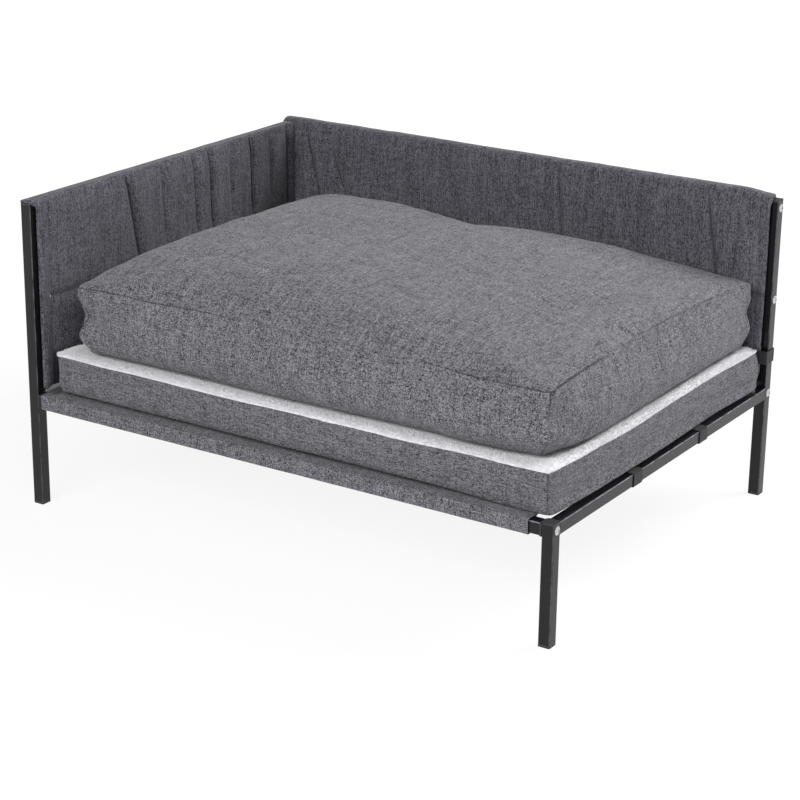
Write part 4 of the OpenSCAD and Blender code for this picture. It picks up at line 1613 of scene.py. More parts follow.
@dataclass
class BackPanel(Panel):
    """The panel over the back top rail."""

    cover: float = 1.5 * MM
    right_hem: float = 12 * MM
    pad_swell: float = 4.0 * MM
    folds: Sequence[Fold] = (
        Fold(-0.445, 2.4 * MM, 13 * MM, 0.520, 0.36, 0.25),
        Fold(-0.390, 1.8 * MM, 13 * MM, 0.495, 0.38, 0.40),
        Fold(-0.214, 1.0 * MM, 15 * MM, 0.500, 0.38, -0.10),
        Fold(0.090, 1.8 * MM, 13 * MM, 0.520, 0.36, 0.10),
        Fold(0.150, 1.2 * MM, 13 * MM, 0.500, 0.38, -0.06),
        Fold(0.247, 1.3 * MM, 13 * MM, 0.510, 0.38, 0.06),
        Fold(0.378, 2.6 * MM, 13 * MM, 0.515, 0.34, 0.16),
        Fold(0.436, 1.6 * MM, 12 * MM, 0.500, 0.36, -0.06),
    )

    name = "back_panel"
    plane = Plane.YZ
    side = -1.0
    along = 0

    def build(self) -> None:
        """Makes the cover, its stitching, the batting in it and the strap at its corner."""
        self.low, self.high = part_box("back_panel_cover")
        self.pad_low, self.pad_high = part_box("back_panel_batting")
        self.inner_y = (self.pad_low.y + self.pad_high.y) / 2
        self.wall_t = 2 * (self.inner_y - self.low.y)
        self.post_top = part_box("post_caps")[1].z
        strip = self.strip()
        draft = Draft()
        outer = strip.add_to(draft, self.relief)
        cover = draft.piece("back_panel_quilt", PANEL_LINEN, Body.FRAME, "linen")
        # Painted shade in the creases and along the quilting line.
        paint_shade(cover, self.marks(spots(cover.data)))
        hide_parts("back_panel_cover")
        self.stitching(strip, outer, self.inner_y, self.high.x - self.right_hem, FORWARD)
        batting(self, "back_panel_wadding", "back_panel_batting")
        self.corner_strap()

    def strip(self) -> ClothStrip:
        """The saddle's path, from the inner hem up, over the rail and down behind."""
        floor = self.post_top + PLAY
        roll = self.high.z - floor
        roof = floor + roll / 2
        outside = self.high.y - self.cover / 2
        shift = roll / 2 - self.wall_t / 2
        corners = [
            (self.inner_y, self.low.z), (self.inner_y, floor - 12 * MM),
            (self.inner_y + shift, roof), (outside - 2 * MM, roof), (outside, floor - 4 * MM),
            (outside, self.low.z),
        ]
        path = bent_path(corners, 6 * MM, 4 * MM)
        over = ease(path[:, 1], floor - 12 * MM, roof - MM)
        out = ease(path[:, 0], outside - 9 * MM, outside - MM)
        thick = self.wall_t + (roll - self.wall_t) * over * (1 - out)
        thick = thick + (self.cover - self.wall_t) * out
        cap = ease(path[:, 1], self.post_top - 8 * MM, self.post_top + 3 * MM)
        inside = self.pad_low.x - self.hem
        low = inside + (self.low.x - inside) * cap
        high = self.high.x - 6 * MM * out * (1 - cap)
        return ClothStrip(self.plane, path, thick, low, high, 520, side=self.side)

    def wall(self, grid: np.ndarray) -> np.ndarray:
        """1 on the inner wall, 0 on the roll and the outer wall."""
        return ease(grid[..., 1], self.inner_y + 5 * MM, self.inner_y)

    def relief(self, grid: np.ndarray) -> tuple[np.ndarray, np.ndarray]:
        """Padding, folds, the curling right hem and the roll, which thins to the right."""
        wall = self.wall(grid)
        x, z = grid[..., 0], grid[..., 2]
        from_right = self.high.x - x
        near = np.minimum(from_right, x - self.low.x + 20 * MM)
        swell = self.padding(z, near, self.low.z)
        upper = ease(z, self.high.z, self.high.z - 34 * MM)
        free = ease(z, 0.262, 0.285)
        out = self.pad_swell * swell * upper * (0.3 + 0.7 * free)
        fade = ease(near, 12 * MM, 45 * MM) * ease(z, self.low.z + 0.04, self.low.z + 0.09)
        out += self.creases(grid) * fade * upper
        out -= 0.9 * MM * self.quilting(z, 2.6 * MM) * ease(from_right, 0, 10 * MM)
        out = np.maximum(out, -self.deepest)
        curl = 1.4 * MM + 2.4 * MM * lumps(grid, (1, 1, 0.05), 31)
        curl = ease(from_right, 26 * MM, 0.0) * curl
        out += curl * free
        out -= 1.1 * MM * bell(from_right - self.right_hem, 2.5 * MM)
        back = -curl * free * ease(from_right, 20 * MM, 8 * MM)
        roof = 1 - ease(z, self.high.z - 4 * MM, self.high.z - 16 * MM)
        wave = 0.9 * MM * lumps(grid, (0.05, 1.0, 1.0), 32)
        wave = wave + 0.5 * MM * lumps(grid, (0.02, 1, 1), 33)
        slope = -5.5 * MM * ease(x, self.high.x - 50 * MM, self.high.x)
        return out * wall + (wave - 0.6 * MM + slope) * roof, back * wall

    def corner_strap(self) -> None:
        """The webbing that goes from the panel round the right rear post."""
        low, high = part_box("panel_strap")
        half = WEBBING_HALF
        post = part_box("right_rear_post")
        face, rear = low.y + half, high.y - half
        out = post[1].x + PLAY + half
        start, foot, head = low.x + 6 * MM, low.z + 3 * MM, high.z - 3 * MM
        corners = [(start, face), (out, face), (out, rear), (post[0].x, rear)]
        path = bent_path(corners, 2.4 * MM, 4 * MM)
        strip = ClothStrip(Plane.XY, path, 2 * half, foot, head, 12)
        draft = Draft()
        strip.add_to(draft, self.strap_relief)
        made = draft.piece("panel_webbing", WEBBING, Body.FRAME, "webbing")
        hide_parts("panel_strap")
        thread = Draft()
        across, rise = (start + 3 * MM, start + 20 * MM), (foot + 3 * MM, head - 3 * MM)
        Stitching.box(thread, across, rise, lambda x, z: (x, low.y, z), FORWARD)
        thread.piece("panel_box_stitch", BLACK_THREAD, Body.FRAME, "webbing")

    @staticmethod
    def strap_relief(grid: np.ndarray) -> tuple[np.ndarray, np.ndarray]:
        """Lets the strap waver a little."""
        sway = 0.15 * MM * lumps(grid, (0.014, 0.014, 0.014), 9)
        return sway, -sway


def batting(panel: Panel, name: str, node: str) -> None:
    """Makes the sheet of wadding inside a panel, with a soft uneven loft.

    Args:
        panel: the panel that it fills.
        name: the new piece's name.
        node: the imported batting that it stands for.
    """
    low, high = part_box(node)
    across = 1 - panel.along
    middle, thick = (low[across] + high[across]) / 2, (high[across] - low[across]) * 0.8
    path = bent_path([(middle, low.z), (middle, high.z)], 0.0, 6 * MM)
    start, end = low[panel.along], high[panel.along]
    strip = ClothStrip(panel.plane, path, thick, start, end, 110, side=panel.side)

    def loft(grid: np.ndarray) -> tuple[np.ndarray, np.ndarray]:
        """Uneven loft of both faces, within the cover."""
        soft = 0.3 * MM * lumps(grid, (0.012, 0.012, 0.012), 41)
        return soft, 0.3 * MM * lumps(grid, (0.012, 0.012, 0.012), 42)

    draft = Draft()
    strip.add_to(draft, loft)
    made = draft.piece(name, WADDING, Body.FRAME, "wadding")
    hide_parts(node)


@dataclass
class Zip:
    """A closed zip that follows the rear face of a pad."""

    name: str
    node: str
    body: Body
    tape: float = 24 * MM
    pitch: float = 2.0 * MM
    proud: float = 0.8 * MM

    def build(self, face: np.ndarray) -> None:
        """Makes the tape, its teeth and its slider.

        Args:
            face: the points of the pad's rear face, column by column.
        """
        low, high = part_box(self.node)
        middle, reach = (low.z + high.z) / 2, (high.x - low.x) / 2
        centre = (low.x + high.x) / 2
        x = np.linspace(centre - reach, centre + reach, 180)
        z = middle + np.linspace(-self.tape / 2, self.tape / 2, 9)
        grid = self.lay(face, x, z)
        near = abs(grid[..., 2] - middle)
        lip = 0.5 * MM * bell(near - 3 * MM, 1.2 * MM)
        draft = Draft()
        shift = np.array((0.0, 1.0, 0.0))
        draft.shell(grid + shift * (self.proud + lip)[..., None], grid + shift * 0.1 * MM)
        tape = draft.piece(f"{self.name}_tape", ZIP_TAPE, self.body, "zip_tape")
        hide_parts(self.node)
        teeth = Draft()
        count = int(2 * reach / self.pitch) - 6
        along = centre + (np.arange(count) - count / 2) * self.pitch
        at = self.lay(face, along, np.array([middle]))[:, 0]
        turn = Matrix.Rotation(math.radians(24), 4, "Y")
        for side in (-1, 1):
            places = np.tile(np.eye(4), (count, 1, 1))
            places[:, :3, :3] = np.array(turn.to_3x3()) * [1, 1, side]
            places[:, :3, 3] = at + (side * self.pitch / 4, 1.5 * MM, side * 1.1 * MM)
            teeth.copies(*pillow((0.62 * MM, 0.7 * MM, 1.7 * MM)), places)
        coil = teeth.piece(f"{self.name}_coil", ZIP_TAPE, self.body, "zip_tape")
        coil.parent = tape
        slider = Draft()
        spot = at[6] + (0.0, 2.2 * MM, 0.0)
        for size, offset in (
            ((5.5 * MM, 1.6 * MM, 4.4 * MM), (0.0, 0.0, 0.0)),
            ((2.4 * MM, 1.5 * MM, 1.3 * MM), (-1.5 * MM, 2.2 * MM, 0.0)),
            ((10 * MM, 0.8 * MM, 2.6 * MM), (9 * MM, 3.0 * MM, 0.0)),
        ):
            place = np.eye(4)[None].copy()
            place[0, :3, 3] = spot + offset
            slider.copies(*pillow(size), place)
        runner = slider.piece(f"{self.name}_slider", ZINC, self.body, "zinc")
        runner.parent = tape

    @staticmethod
    def lay(face: np.ndarray, x: np.ndarray, z: np.ndarray) -> np.ndarray:
        """Points of a rear face at given places.

        Args:
            face: the face's points, column by column.
            x: places along the face.
            z: heights.

        Returns:
            A grid of points on the face.
        """
        order = np.argsort(face[:, face.shape[1] // 2, 0])
        columns = face[order]
        profile = np.stack(
            [np.interp(z, column[::-1, 2], column[::-1, 1]) for column in columns]
        )
        known = columns[:, columns.shape[1] // 2, 0]
        depth = np.stack([np.interp(x, known, profile[:, k]) for k in range(len(z))], 1)
        grid = np.empty((len(x), len(z), 3))
        grid[..., 0], grid[..., 1], grid[..., 2] = x[:, None], depth, z[None]
        return grid


def pillow(half: tuple[float, float, float]) -> tuple[np.ndarray, np.ndarray]:
    """Points and faces of a small block with its edges cut, centred on the origin."""
    levels = ((-1.0, 0.72), (-0.72, 1.0), (0.72, 1.0), (1.0, 0.72))
    half_ring = np.array([(-1, -0.7), (-0.7, -1), (0.7, -1), (1, -0.7)])
    ring = np.concatenate([half_ring, -half_ring])
    points = [np.c_[ring * size, np.full(8, height)] for height, size in levels]
    faces = sleeve(4, 8)
    for start, flip in ((0, True), (24, False)):
        caps = [(0, 1, 2, 7), (2, 3, 6, 7), (3, 4, 5, 6)]
        faces += [tuple(start + k for k in (cap[::-1] if flip else cap)) for cap in caps]
    return np.concatenate(points) * np.array(half), np.array(faces)


@dataclass
class Mattress:
    """The foam mattress: linen border and base, and a plush sleeping side."""

    border: float = 62 * MM
    core_size: tuple[float, float, float] = (0.985, 0.98, 0.88)
    corner: float = 13 * MM
    belly: float = 9 * MM
    tuck: float = 2.5 * MM
    lift: float = 5.0 * MM
    corner_bulge: float = 7.5 * MM
    fringe: float = 55 * MM
    tufts: int = 15000
    seed: int = 5

    def build(self) -> None:
        """Makes the cover, foam, plush, pile and zip."""
        low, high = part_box("mattress_cover")
        self.low, self.high = low, high
        shape = PadShape(
            (low.x, low.y, low.z), (high.x, high.y, low.z + self.border), 104, 78, 8, self.corner,
            bulge=3.0 * MM, pinch=(1.0 * MM,) * 4, waist=0.0, underside=1.5 * MM,
        )
        pad = BoxedPad(shape, self.level, self.rim, self.plan, self.foot)
        pad.refine()
        pad.flank(1.4 * MM)
        pad.relieve(self.top_relief, self.border_relief)
        pad.pull_seams(lambda seam: np.full(len(seam), 1.4 * MM), 1.6 * MM)
        for grid in (pad.base, pad.band):
            front = ease(grid[..., 1], low.y + 38 * MM, low.y + 6 * MM)
            front = front * ease(grid[..., 0], high.x - 0.05, high.x - 0.22)
            under = ease(grid[..., 2], low.z + 24 * MM, low.z)
            grid[..., 2] = np.maximum(grid[..., 2] + self.lift * front * under, low.z)
        draft = Draft()
        pad.add_to(draft)
        cover = draft.piece("mattress_shell", BORDER_LINEN, Body.MATTRESS, "linen")
        # Painted shade along the seams.
        paint_shade(cover, pad.painted_seam_shade(lambda seam, row: 0.35, (0.4,) * 4))
        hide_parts("mattress_cover")
        self.core(pad)
        self.plush(pad)
        Zip("mattress_zip", "mattress_zip", Body.MATTRESS).build(pad.rear_face())

    def level(self, x: np.ndarray, y: np.ndarray) -> np.ndarray:
        """Height of the top over its seam: it comes back to the level within a few centimetres."""
        edge = edge_distance((self.low, self.high), x, y)
        flat = self.low.z + self.border
        return (flat - self.rim(x, y)) * ease(edge, 2 * MM, 26 * MM)

    def plan(self, x: np.ndarray, y: np.ndarray) -> tuple[np.ndarray, np.ndarray]:
        """Where the top's points go: out a little at the open rear corner."""
        return x + 5 * MM * self.open_side(x) * self.rear(y), y

    def open_side(self, x: np.ndarray) -> np.ndarray:
        """0 over most of the mattress, and up to 1 at its open right side."""
        return ease(x, self.high.x - 0.16, self.high.x)

    def rear(self, y: np.ndarray) -> np.ndarray:
        """0 over most of the mattress, and up to 1 near its rear side."""
        return ease(y, self.high.y - 0.18, self.high.y - 0.03)

    def foot(self, x: np.ndarray, y: np.ndarray) -> tuple[np.ndarray, np.ndarray]:
        """Where the base's points go: drawn in a little, and out with the belly."""
        middle_x, middle_y = (self.low.x + self.high.x) / 2, (self.low.y + self.high.y) / 2
        half_x, half_y = (self.high.x - self.low.x) / 2, (self.high.y - self.low.y) / 2
        fx = x - self.tuck * np.minimum((x - middle_x) / half_x, 0.0)
        fy = middle_y + (y - middle_y) * (1 - self.tuck / half_y)
        fx += self.open_side(x) * (2.5 * MM + 8 * MM * self.rear(y))
        return fx + self.belly * self.swell(x, y), fy

    def swell(self, x: np.ndarray, y: np.ndarray) -> np.ndarray:
        """How much of the belly a point takes, from 0 to 1."""
        v = (y - self.low.y) / (self.high.y - self.low.y)
        along = np.sin(math.pi * np.clip(v, 0, 1) ** 0.8) ** 0.8
        return self.open_side(x) * along

    def rim(self, x: np.ndarray, y: np.ndarray) -> np.ndarray:
        """Height of the top seam, which the soft foam lets wander."""
        spot = np.stack([x, y, np.zeros_like(x)], -1)
        wave = 2.6 * MM * lumps(spot, (0.26, 0.24, 1.0), 51)
        wave = wave + 0.9 * MM * lumps(spot, (0.07, 0.07, 1.0), 52)
        near = ease(y, self.low.y + 0.10, self.low.y)
        right = ease(x, self.high.x - 0.10, self.high.x)
        ends = 2.5 * MM * ease(x, 0.0, self.high.x) + 2.0 * MM * ease(x, -0.1, self.low.x)
        lean = near * ends
        lean -= right * 5.0 * MM * bell(y + 0.09, 0.14)
        return self.low.z + self.border + 4.5 * MM + wave + lean

    def top_relief(self, grid: np.ndarray) -> np.ndarray:
        """Almost level: the plush lies on it."""
        return 0.2 * MM * lumps(grid, (0.03, 0.03, 0.03), 53)

    def border_relief(self, grid: np.ndarray) -> np.ndarray:
        """Soft dents and the puckers that the seams make."""
        x, y, z = np.moveaxis(grid, -1, 0)
        out = 1.3 * MM * lumps(grid, (0.12, 0.12, 0.06), 54)
        out = out + 0.5 * MM * lumps(grid, (0.03, 0.03, 0.03), 55)
        down = self.low.z + self.border - z
        share = np.clip(down / self.border, 0, 1)
        rear = ease(x, self.high.x - 0.02, self.high.x)
        rear = rear * ease(y, self.high.y - 0.10, self.high.y - 0.03)
        bulge = self.corner_bulge * rear * np.sin(math.pi * share)
        out += bulge * ease(self.high.y - y, 0.0, 5 * MM)
        pucker = lumps(grid, (0.014, 0.014, 0.2), 56)
        out += 0.5 * MM * pucker * np.exp(-np.maximum(down, 0) / (12 * MM))
        return out

    def core(self, pad: BoxedPad) -> None:
        """The foam block."""
        draft = Draft()
        pad.shrunk(*self.core_size).add_to(draft)
        foam = draft.piece("mattress_foam", FOAM, Body.MATTRESS, "foam")
        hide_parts("mattress_core")

    def plush(self, pad: BoxedPad) -> None:
        """The plush sleeping side and the pile that stands along its edges."""
        pile_low, pile_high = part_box("mattress_plush_top")
        grid = pad.top
        edge = edge_distance((self.low, self.high), grid[..., 0], grid[..., 1])
        open_side = ease(edge, self.fringe, 12 * MM)
        deep = (pile_high.z - pile_low.z) * (0.3 + 0.7 * ease(edge, 0.0, 12 * MM))
        fluff = lumps(grid, (0.009, 0.009, 0.009), 57)
        fluff = fluff + 0.6 * lumps(grid, (0.0045, 0.0045, 0.0045), 58)
        fluff += 0.8 * lumps(grid, (0.03, 0.03, 0.03), 59)
        up = facing(grid)
        top = grid + up * (deep + 0.9 * MM * fluff * open_side - 0.2 * MM)[..., None]
        under = grid + up * 0.15 * MM
        capped = np.minimum(top[..., 2], pile_high.z)
        top[..., 2] = np.where(edge > self.fringe, capped, top[..., 2])
        draft = Draft()
        draft.shell(top, under, 0.3)
        sheet = draft.piece("mattress_plush", PLUSH, Body.MATTRESS, "plush")
        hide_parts("mattress_plush_top")
        pile = self.pile(top, edge)

    def pile(self, top: np.ndarray, edge: np.ndarray) -> bpy.types.Object:
        """Short fibres along the edge of the plush.

        Args:
            top: the plush's top side.
            edge: distance of its points from the nearest side.

        Returns:
            The pile.
        """
        rng = np.random.default_rng(self.seed)
        rows, columns = top.shape[0] - 1, top.shape[1] - 1
        u, v = rng.random(self.tufts * 12) * rows, rng.random(self.tufts * 12) * columns
        i, j = np.floor(u).astype(int), np.floor(v).astype(int)
        chance = ease(edge[i, j], self.fringe, 8 * MM) ** 1.5
        keep = np.flatnonzero(rng.random(len(u)) < chance)[: self.tufts]
        i, j, fu, fv = i[keep], j[keep], (u - i)[keep][:, None], (v - j)[keep][:, None]
        spot = (top[i, j] * (1 - fu) + top[i + 1, j] * fu) * (1 - fv)
        spot += (top[i, j + 1] * (1 - fu) + top[i + 1, j + 1] * fu) * fv
        middle = np.array(((self.low.x + self.high.x) / 2, (self.low.y + self.high.y) / 2, 0.0))
        out = (spot - middle) * (1, 1, 0)
        brim = ease(edge[i, j], 10 * MM, 0.0)[:, None]
        way = UP + rng.normal(0, 0.45, (len(spot), 3))
        way += unit(out) * brim * 1.1
        way[:, 2] = np.maximum(way[:, 2], 0.25)
        way = unit(way)
        side = unit(np.cross(way, (0.3, 0.9, 0.1)))
        tall = rng.uniform(1.6, 3.4, len(spot))[:, None] * MM
        wide = rng.uniform(0.35, 0.75, len(spot))[:, None] * MM
        crosswise = np.cross(way, side) * wide
        places = placed(side * wide, crosswise, way * tall, spot - way * 0.6 * MM)
        square = np.array([(-1, -1), (1, -1), (1, 1), (-1, 1)])
        points = np.r_[np.c_[square, np.zeros(4)], np.c_[square * 0.35, np.ones(4)]]
        faces = np.array([(3, 2, 1, 0), (4, 5, 6, 7), *sleeve(2, 4)])
        draft = Draft()
        draft.copies(points, faces, places)
        return draft.piece("mattress_pile", PLUSH, Body.MATTRESS, "plush")


@dataclass
class Cushion:
    """The loose boxed cushion, blown up by its filling."""

    border: float = 112 * MM
    filling_size: tuple[float, float, float] = (0.955, 0.94, 0.86)
    corner: float = 11 * MM
    crown: float = 60 * MM
    border_slack: float = 0.03
    pressure: float = 0.8
    cap: float = 9 * MM
    corner_sag: float = 9.0 * MM
    sag_reach: float = 27 * MM

    def build(self) -> None:
        """Makes the cover, its filling and its zip."""
        low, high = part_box("cushion_cover")
        self.low, self.high = low, high
        start = (low.x + 1.5 * MM, low.y + 3 * MM, low.z)
        end = (high.x, high.y - 3 * MM, low.z + self.border)
        shape = PadShape(
            start, end, 96, 74, 14, self.corner, bulge=11.0 * MM,
            pinch=(19 * MM, 5 * MM, 6 * MM, 14 * MM), waist=6.0 * MM, underside=9.0 * MM,
        )
        pad = BoxedPad(shape, self.dome, self.rim, as_it_is, self.foot)
        pad.settle(self.cut(shape), self.pressure, self.cap)
        pad.refine()
        pad.flank(1.5 * MM)
        pad.relieve(self.top_relief, self.border_relief)
        pad.pull_seams(self.seam_depth, 3.0 * MM)
        self.keep_clear(pad)
        draft = Draft()
        pad.add_to(draft)
        cover = draft.piece("cushion_shell", LINEN, Body.CUSHION, "linen")
        # Painted shade along the seams, darkest where they draw in most.
        paint_shade(cover, pad.painted_seam_shade(self.seam_shade, (0.3, 0.6, 0.3, 0.3)))
        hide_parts("cushion_cover")
        inside = Draft()
        pad.shrunk(*self.filling_size).add_to(inside)
        fibre = inside.piece("cushion_fibre", WADDING, Body.CUSHION, "wadding")
        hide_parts("cushion_filling")
        Zip("cushion_zip", "cushion_zip", Body.CUSHION).build(pad.rear_face())

    def cut(self, shape: PadShape) -> BoxedPad:
        """The cover as it was sewn: a flat top and an upright border with a little slack."""
        seam = shape.low[2] + self.border * (1 + self.border_slack)
        flat = replace(
            shape, high=(*shape.high[:2], seam), bulge=0.0, pinch=(0.0,) * 4, waist=0.0,
            underside=0.0,
        )
        return BoxedPad(flat, lambda x, y: x * 0, lambda x, y: x * 0 + seam, as_it_is, as_it_is)

    def shares(self, x: np.ndarray, y: np.ndarray) -> tuple[np.ndarray, np.ndarray]:
        """Places along and across the cushion, from 0 to 1."""
        u = (x - self.low.x) / (self.high.x - self.low.x)
        v = (y - self.low.y) / (self.high.y - self.low.y)
        return np.clip(u, 0, 1), np.clip(v, 0, 1)

    def foot(self, x: np.ndarray, y: np.ndarray) -> tuple[np.ndarray, np.ndarray]:
        """Where the base's points go: the border curls in under the cushion."""
        u, v = self.shares(x, y)
        left, right = 12 * MM, 7 * MM + 9 * MM * (1 - v) ** 3
        right = right - 12 * MM * (1 - v**2) * ease(v, 0.0, 0.16)
        front = 16 * MM - 6 * MM * bell(u - 0.42, 0.16)
        rear = 12 * MM
        tuck = 13 * MM * bell(1 - u, 0.075) * bell(v, 0.11)
        return x + left * (1 - u) - right * u - tuck, y + front * (1 - v) - rear * v + tuck

    def rim(self, x: np.ndarray, y: np.ndarray) -> np.ndarray:
        """Height of the top seam: it lifts between the corners."""
        u, v = self.shares(x, y)
        between = np.sin(math.pi * u) ** 0.7
        beside = np.sin(math.pi * v) ** 0.6
        rise = 6 * MM * ease(v, 0.2, 0.0) * between + 12 * MM * ease(v, 0.80, 1.0) * between
        rise += 18 * MM * ease(u, 0.80, 1.0) * beside + 20 * MM * ease(u, 0.20, 0.0) * beside
        spot = np.stack([x, y, np.zeros_like(x)], -1)
        wander = 1.6 * MM * lumps(spot, (0.12, 0.12, 1.0), 61)
        return self.low.z + self.border + 2 * MM + rise + wander

    def dome(self, x: np.ndarray, y: np.ndarray) -> np.ndarray:
        """Height of the top over its seam: plump on the left, lower on the right and behind."""
        u, v = self.shares(x, y)
        rise = 1.0
        for far, shoulder in (
            (x - self.low.x, 0.10), (self.high.x - x, 0.24),
            (y - self.low.y, 0.16), (self.high.y - y, 0.10),
        ):
            rise = rise * (1 - (1 - np.clip(far / shoulder, 0, 1)) ** 2.3)
        top = self.low.z + self.border + self.crown
        top = top - 28 * MM * ((u - 0.30) / 0.62) ** 2 - 10 * MM * ((v - 0.55) / 0.44) ** 2
        top = top - 14 * MM * bell(u - 0.43, 0.12) * ease(v, 0.62, 0.95)
        return np.maximum(top - self.rim(x, y), 4 * MM) * rise

    def seam_depth(self, seam: np.ndarray) -> np.ndarray:
        """How far the seams draw in: deep by the open corner, and hardly in the middle in front."""
        u, v = self.shares(seam[:, 0], seam[:, 1])
        front = ease(v, 0.06, 0.03)
        flat = front * ease(u, 0.26, 0.42) * ease(u, 0.86, 0.70)
        right = ease(u, 0.94, 0.97) * ease(v, 0.02, 0.06) * ease(v, 0.36, 0.16)
        return 3.0 * MM - 2.6 * MM * flat + 5.0 * MM * right

    def seam_shade(self, seam: np.ndarray, row: int) -> np.ndarray:
        """How much painted shade the seams take: darkest where they draw in most."""
        u, v = self.shares(seam[:, 0], seam[:, 1])
        depth = np.clip(self.seam_depth(seam) / (3.0 * MM), 0, 1) * (0.85 if row == 0 else 0.3)
        right = ease(u, 0.96, 0.985) * ease(v, 0.02, 0.05)
        faint = 1 - 0.8 * ease(v, 0.20, 0.30) + 0.35 * ease(v, 0.40, 0.48)
        faint = faint - 0.3 * ease(v, 0.75, 0.9)
        return depth * (1 - right * (1 - faint))

    def top_relief(self, grid: np.ndarray) -> np.ndarray:
        """Broad lumps of filling, soft creases and the puckers along the seams."""
        edge = edge_distance((self.low, self.high), grid[..., 0], grid[..., 1])
        calm = ease(edge, 0.0, 0.05)
        out = 3.6 * MM * lumps(grid, (0.17, 0.14, 1.0), 71) * calm
        out += 1.5 * MM * lumps(grid, (0.060, 0.055, 1.0), 72) * calm
        crease = abs(lumps(grid @ self.turn(25).T, (0.10, 0.035, 1.0), 73))
        out -= 2.0 * MM * bell(crease, 0.10) * ease(edge, 0.02, 0.09)
        out += self.puckers(grid, edge)
        return out

    @staticmethod
    def turn(degrees: float) -> np.ndarray:
        """A turn about Z, as a 3 x 3 matrix."""
        return np.array(Matrix.Rotation(math.radians(degrees), 3, "Z"))

    def puckers(self, grid: np.ndarray, far: np.ndarray) -> np.ndarray:
        """Small gathers that run square to the seams and fade away from them."""
        fine = lumps(grid, (0.013, 0.013, 0.4), 74)
        broad = lumps(grid, (0.035, 0.035, 0.4), 75)
        fine = 1.0 * MM * fine * np.exp(-far / (11 * MM))
        return fine + 2.0 * MM * broad * np.exp(-far / (32 * MM))

    def border_relief(self, grid: np.ndarray) -> np.ndarray:
        """Dents, the gathers at both seams and the folds at the upright corners."""
        low, high = self.low, self.high
        x, y, z = np.moveaxis(grid, -1, 0)
        down = np.maximum(low.z + self.border + 8 * MM - z, 0)
        up = np.maximum(z - low.z, 0)
        out = 2.2 * MM * lumps(grid, (0.11, 0.11, 0.09), 76)
        out = out + 0.9 * MM * lumps(grid, (0.04, 0.04, 0.05), 77)
        out += self.puckers(grid, np.minimum(down, up))
        corners = itertools.product((low.x, high.x), (low.y, high.y))
        corner = np.min([np.hypot(x - cx, y - cy) for cx, cy in corners], axis=0)
        fold = lumps(grid, (0.4, 0.4, 0.022), 78)
        out += 3.2 * MM * fold * np.exp(-corner / (42 * MM))
        open_corner = np.hypot(x - high.x, y - low.y)
        sag = ease(z, low.z + self.border - 6 * MM, low.z + self.border - 48 * MM)
        out -= self.corner_sag * sag * bell(open_corner, self.sag_reach)
        return out

    def keep_clear(self, pad: BoxedPad) -> None:
        """Keeps the cushion off the mattress and the back panel."""
        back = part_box("back_panel_cover")[0].y - 6 * MM
        for grid in (pad.top, pad.band, pad.base):
            grid[..., 2] = np.maximum(grid[..., 2], self.low.z)
            grid[..., 1] = np.minimum(grid[..., 1], back)


# ---------------------------------------------------------------- studio


@dataclass(frozen=True)
class StudioFloor(Finish):
    """Pale paper that shows white and keeps a soft shadow."""

    glow: float = 1.08
    share: float = 0.82
    near: float = 0.9
    far: float = 2.4

    def dress(self, b: Bench, surface: bpy.types.Node) -> None:
        """Leaves the shader plain; the white for the camera is added in material()."""
        b.fill(surface, {"Base Color": (*self.colour, 1.0), "Specular IOR Level": 0.0})

    def material(self) -> bpy.types.Material:
        """The paper: lit for the room, and mostly white to the camera and to mirrors."""
        made = super().material()
        tree = made.node_tree
        if any(node.type == "EMISSION" for node in tree.nodes):
            return made
        b = Bench(tree)
        seen = b.seen()
        away = b.node("VectorMath", {0: b.node("TexCoord").outputs["Object"]}, operation="LENGTH")
        share = b.node("MapRange", {
            "Value": away.outputs["Value"], "From Min": self.near, "From Max": self.far,
            "To Min": self.share, "To Max": 1.0,
        }).outputs[0]
        white = b.node("Emission", {"Color": (1, 1, 1, 1), "Strength": self.glow})
        mix = b.node("MixShader", {0: b.sum("MULTIPLY", seen, share)})
        surface = next(node for node in tree.nodes if node.type == "BSDF_PRINCIPLED")
        end = next(node for node in tree.nodes if node.type == "OUTPUT_MATERIAL")
        tree.links.new(surface.outputs[0], mix.inputs[1])
        tree.links.new(white.outputs[0], mix.inputs[2])
        tree.links.new(mix.outputs[0], end.inputs["Surface"])
        return made


@dataclass(frozen=True)
class Softbox:
    """A large soft lamp that looks at the bed, with or without its own reflection in gloss."""

    name: str
    place: tuple[float, float, float]
    size: tuple[float, float]
    watts: float
    aim: tuple[float, float, float] = (0.0, 0.0, 0.28)
    mirrored: bool = False

    def build(self) -> None:
        """Hangs the lamp."""
        lamp = bpy.data.lights.new(self.name, "AREA")
        lamp.shape = "RECTANGLE"
        lamp.size, lamp.size_y = self.size
        lamp.energy = self.watts
        thing = bpy.data.objects.new(self.name, lamp)
        thing.location = self.place
        way = Vector(self.aim) - Vector(self.place)
        thing.rotation_euler = way.to_track_quat("-Z", "Y").to_euler()
        thing.visible_glossy = self.mirrored
        bpy.context.scene.collection.objects.link(thing)


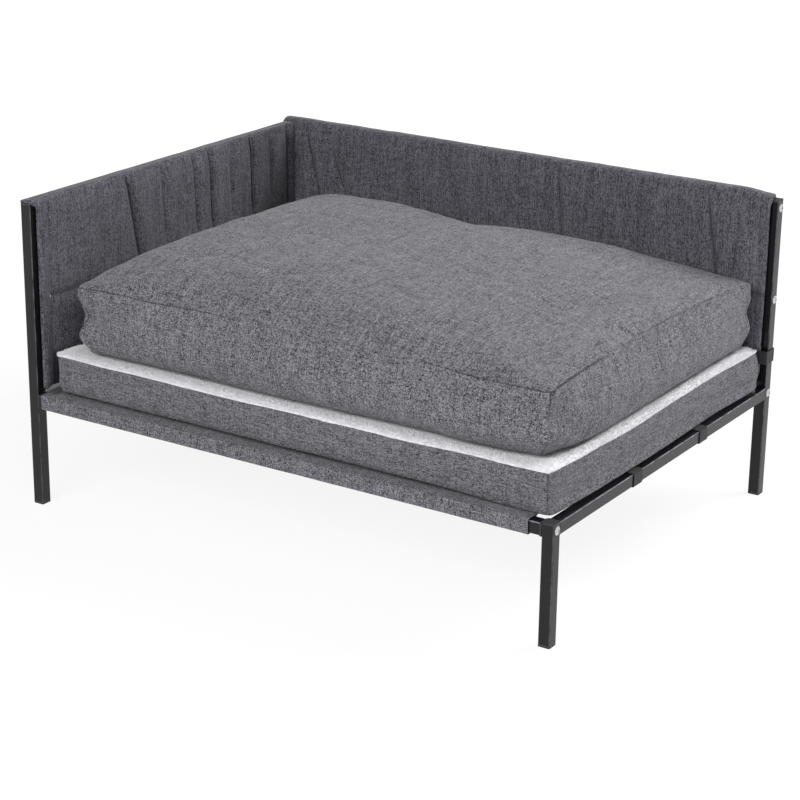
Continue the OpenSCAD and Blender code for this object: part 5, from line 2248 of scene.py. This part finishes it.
@dataclass
class Studio:
    """Floor, soft lamps, even sky and the camera."""

    azimuth: float = 32.86
    elevation: float = 19.58
    roll: float = 0.71
    place: tuple[float, float, float] = (1.909, -2.967, 1.431)
    lens: float = 100.0
    sensor: float = 36.0
    clip: tuple[float, float] = (0.05, 100.0)
    sky: float = 0.03
    floor_half: float = 24.0
    lamps: Sequence[Softbox] = (
        Softbox("front_softbox", (0.1, -3.0, 1.9), (2.2, 1.2), 81.0, mirrored=True),
        Softbox("rear_softbox", (0.8, 1.5, 2.3), (2.4, 1.2), 37.0),
        Softbox("rear_right_softbox", (2.0, 2.0, 2.2), (1.6, 1.4), 61.0),
        Softbox("right_softbox", (3.0, -0.5, 0.7), (1.6, 1.0), 11.0),
        Softbox("front_right_softbox", (1.8, -1.8, 2.6), (1.6, 1.4), 23.0),
    )

    def build(self) -> None:
        """Sets up everything that isn't the bed."""
        self.floor()
        for lamp in self.lamps:
            lamp.build()
        self.air()
        self.camera()
        bpy.context.scene.view_settings.view_transform = "Standard"

    def floor(self) -> None:
        """The pale floor, which is also the backdrop."""
        mesh = bpy.data.meshes.new("studio_floor")
        half = self.floor_half
        corners = [(-half, -half, 0), (half, -half, 0), (half, half, 0), (-half, half, 0)]
        mesh.from_pydata(corners, [], [(0, 1, 2, 3)])
        mesh.materials.append(StudioFloor("studio_paper", (0.8, 0.8, 0.8), 0.9).material())
        thing = bpy.data.objects.new("studio_floor", mesh)
        bpy.context.scene.collection.objects.link(thing)

    def air(self) -> None:
        """Even light from all round, and plain white where the camera or a mirror sees it."""
        world = bpy.data.worlds.new("studio_air")
        world.use_nodes = True
        bpy.context.scene.world = world
        tree = world.node_tree
        tree.nodes.clear()
        b = Bench(tree)
        seen = b.seen()
        strength = b.node("MapRange", {"Value": seen, "To Min": self.sky, "To Max": 1.0}).outputs[0]
        sky = b.node("Background", {"Color": (1, 1, 1, 1), "Strength": strength})
        end = tree.nodes.new("ShaderNodeOutputWorld")
        tree.links.new(sky.outputs[0], end.inputs["Surface"])

    def camera(self) -> None:
        """The camera, level with the viewing angle, with no shift and no depth of field."""
        az, el, roll = (math.radians(v) for v in (self.azimuth, self.elevation, self.roll))
        back = Vector((math.sin(az) * math.cos(el), -math.cos(az) * math.cos(el), math.sin(el)))
        level = Vector((math.cos(az), math.sin(az), 0.0))
        rise = back.cross(level)
        right = level * math.cos(roll) + rise * math.sin(roll)
        up = rise * math.cos(roll) - level * math.sin(roll)
        lens = bpy.data.cameras.new("camera")
        lens.lens, lens.sensor_width = self.lens, self.sensor
        lens.clip_start, lens.clip_end = self.clip
        thing = bpy.data.objects.new("camera", lens)
        turn = Matrix((right, up, back)).transposed().to_4x4()
        thing.matrix_world = Matrix.Translation(self.place) @ turn
        bpy.context.scene.collection.objects.link(thing)
        bpy.context.scene.camera = thing


def main() -> None:
    """Builds the bed, sub-assembly by sub-assembly, and the studio round it."""
    logging.basicConfig(level=logging.INFO, format="%(name)s: %(message)s")
    for part in (Studio(), TubeFrame(), Sling(), SidePanel(), BackPanel(), Mattress(), Cushion()):
        LOG.info("building %s", type(part).__name__)
        part.build()


if __name__ == "__main__":
    main()
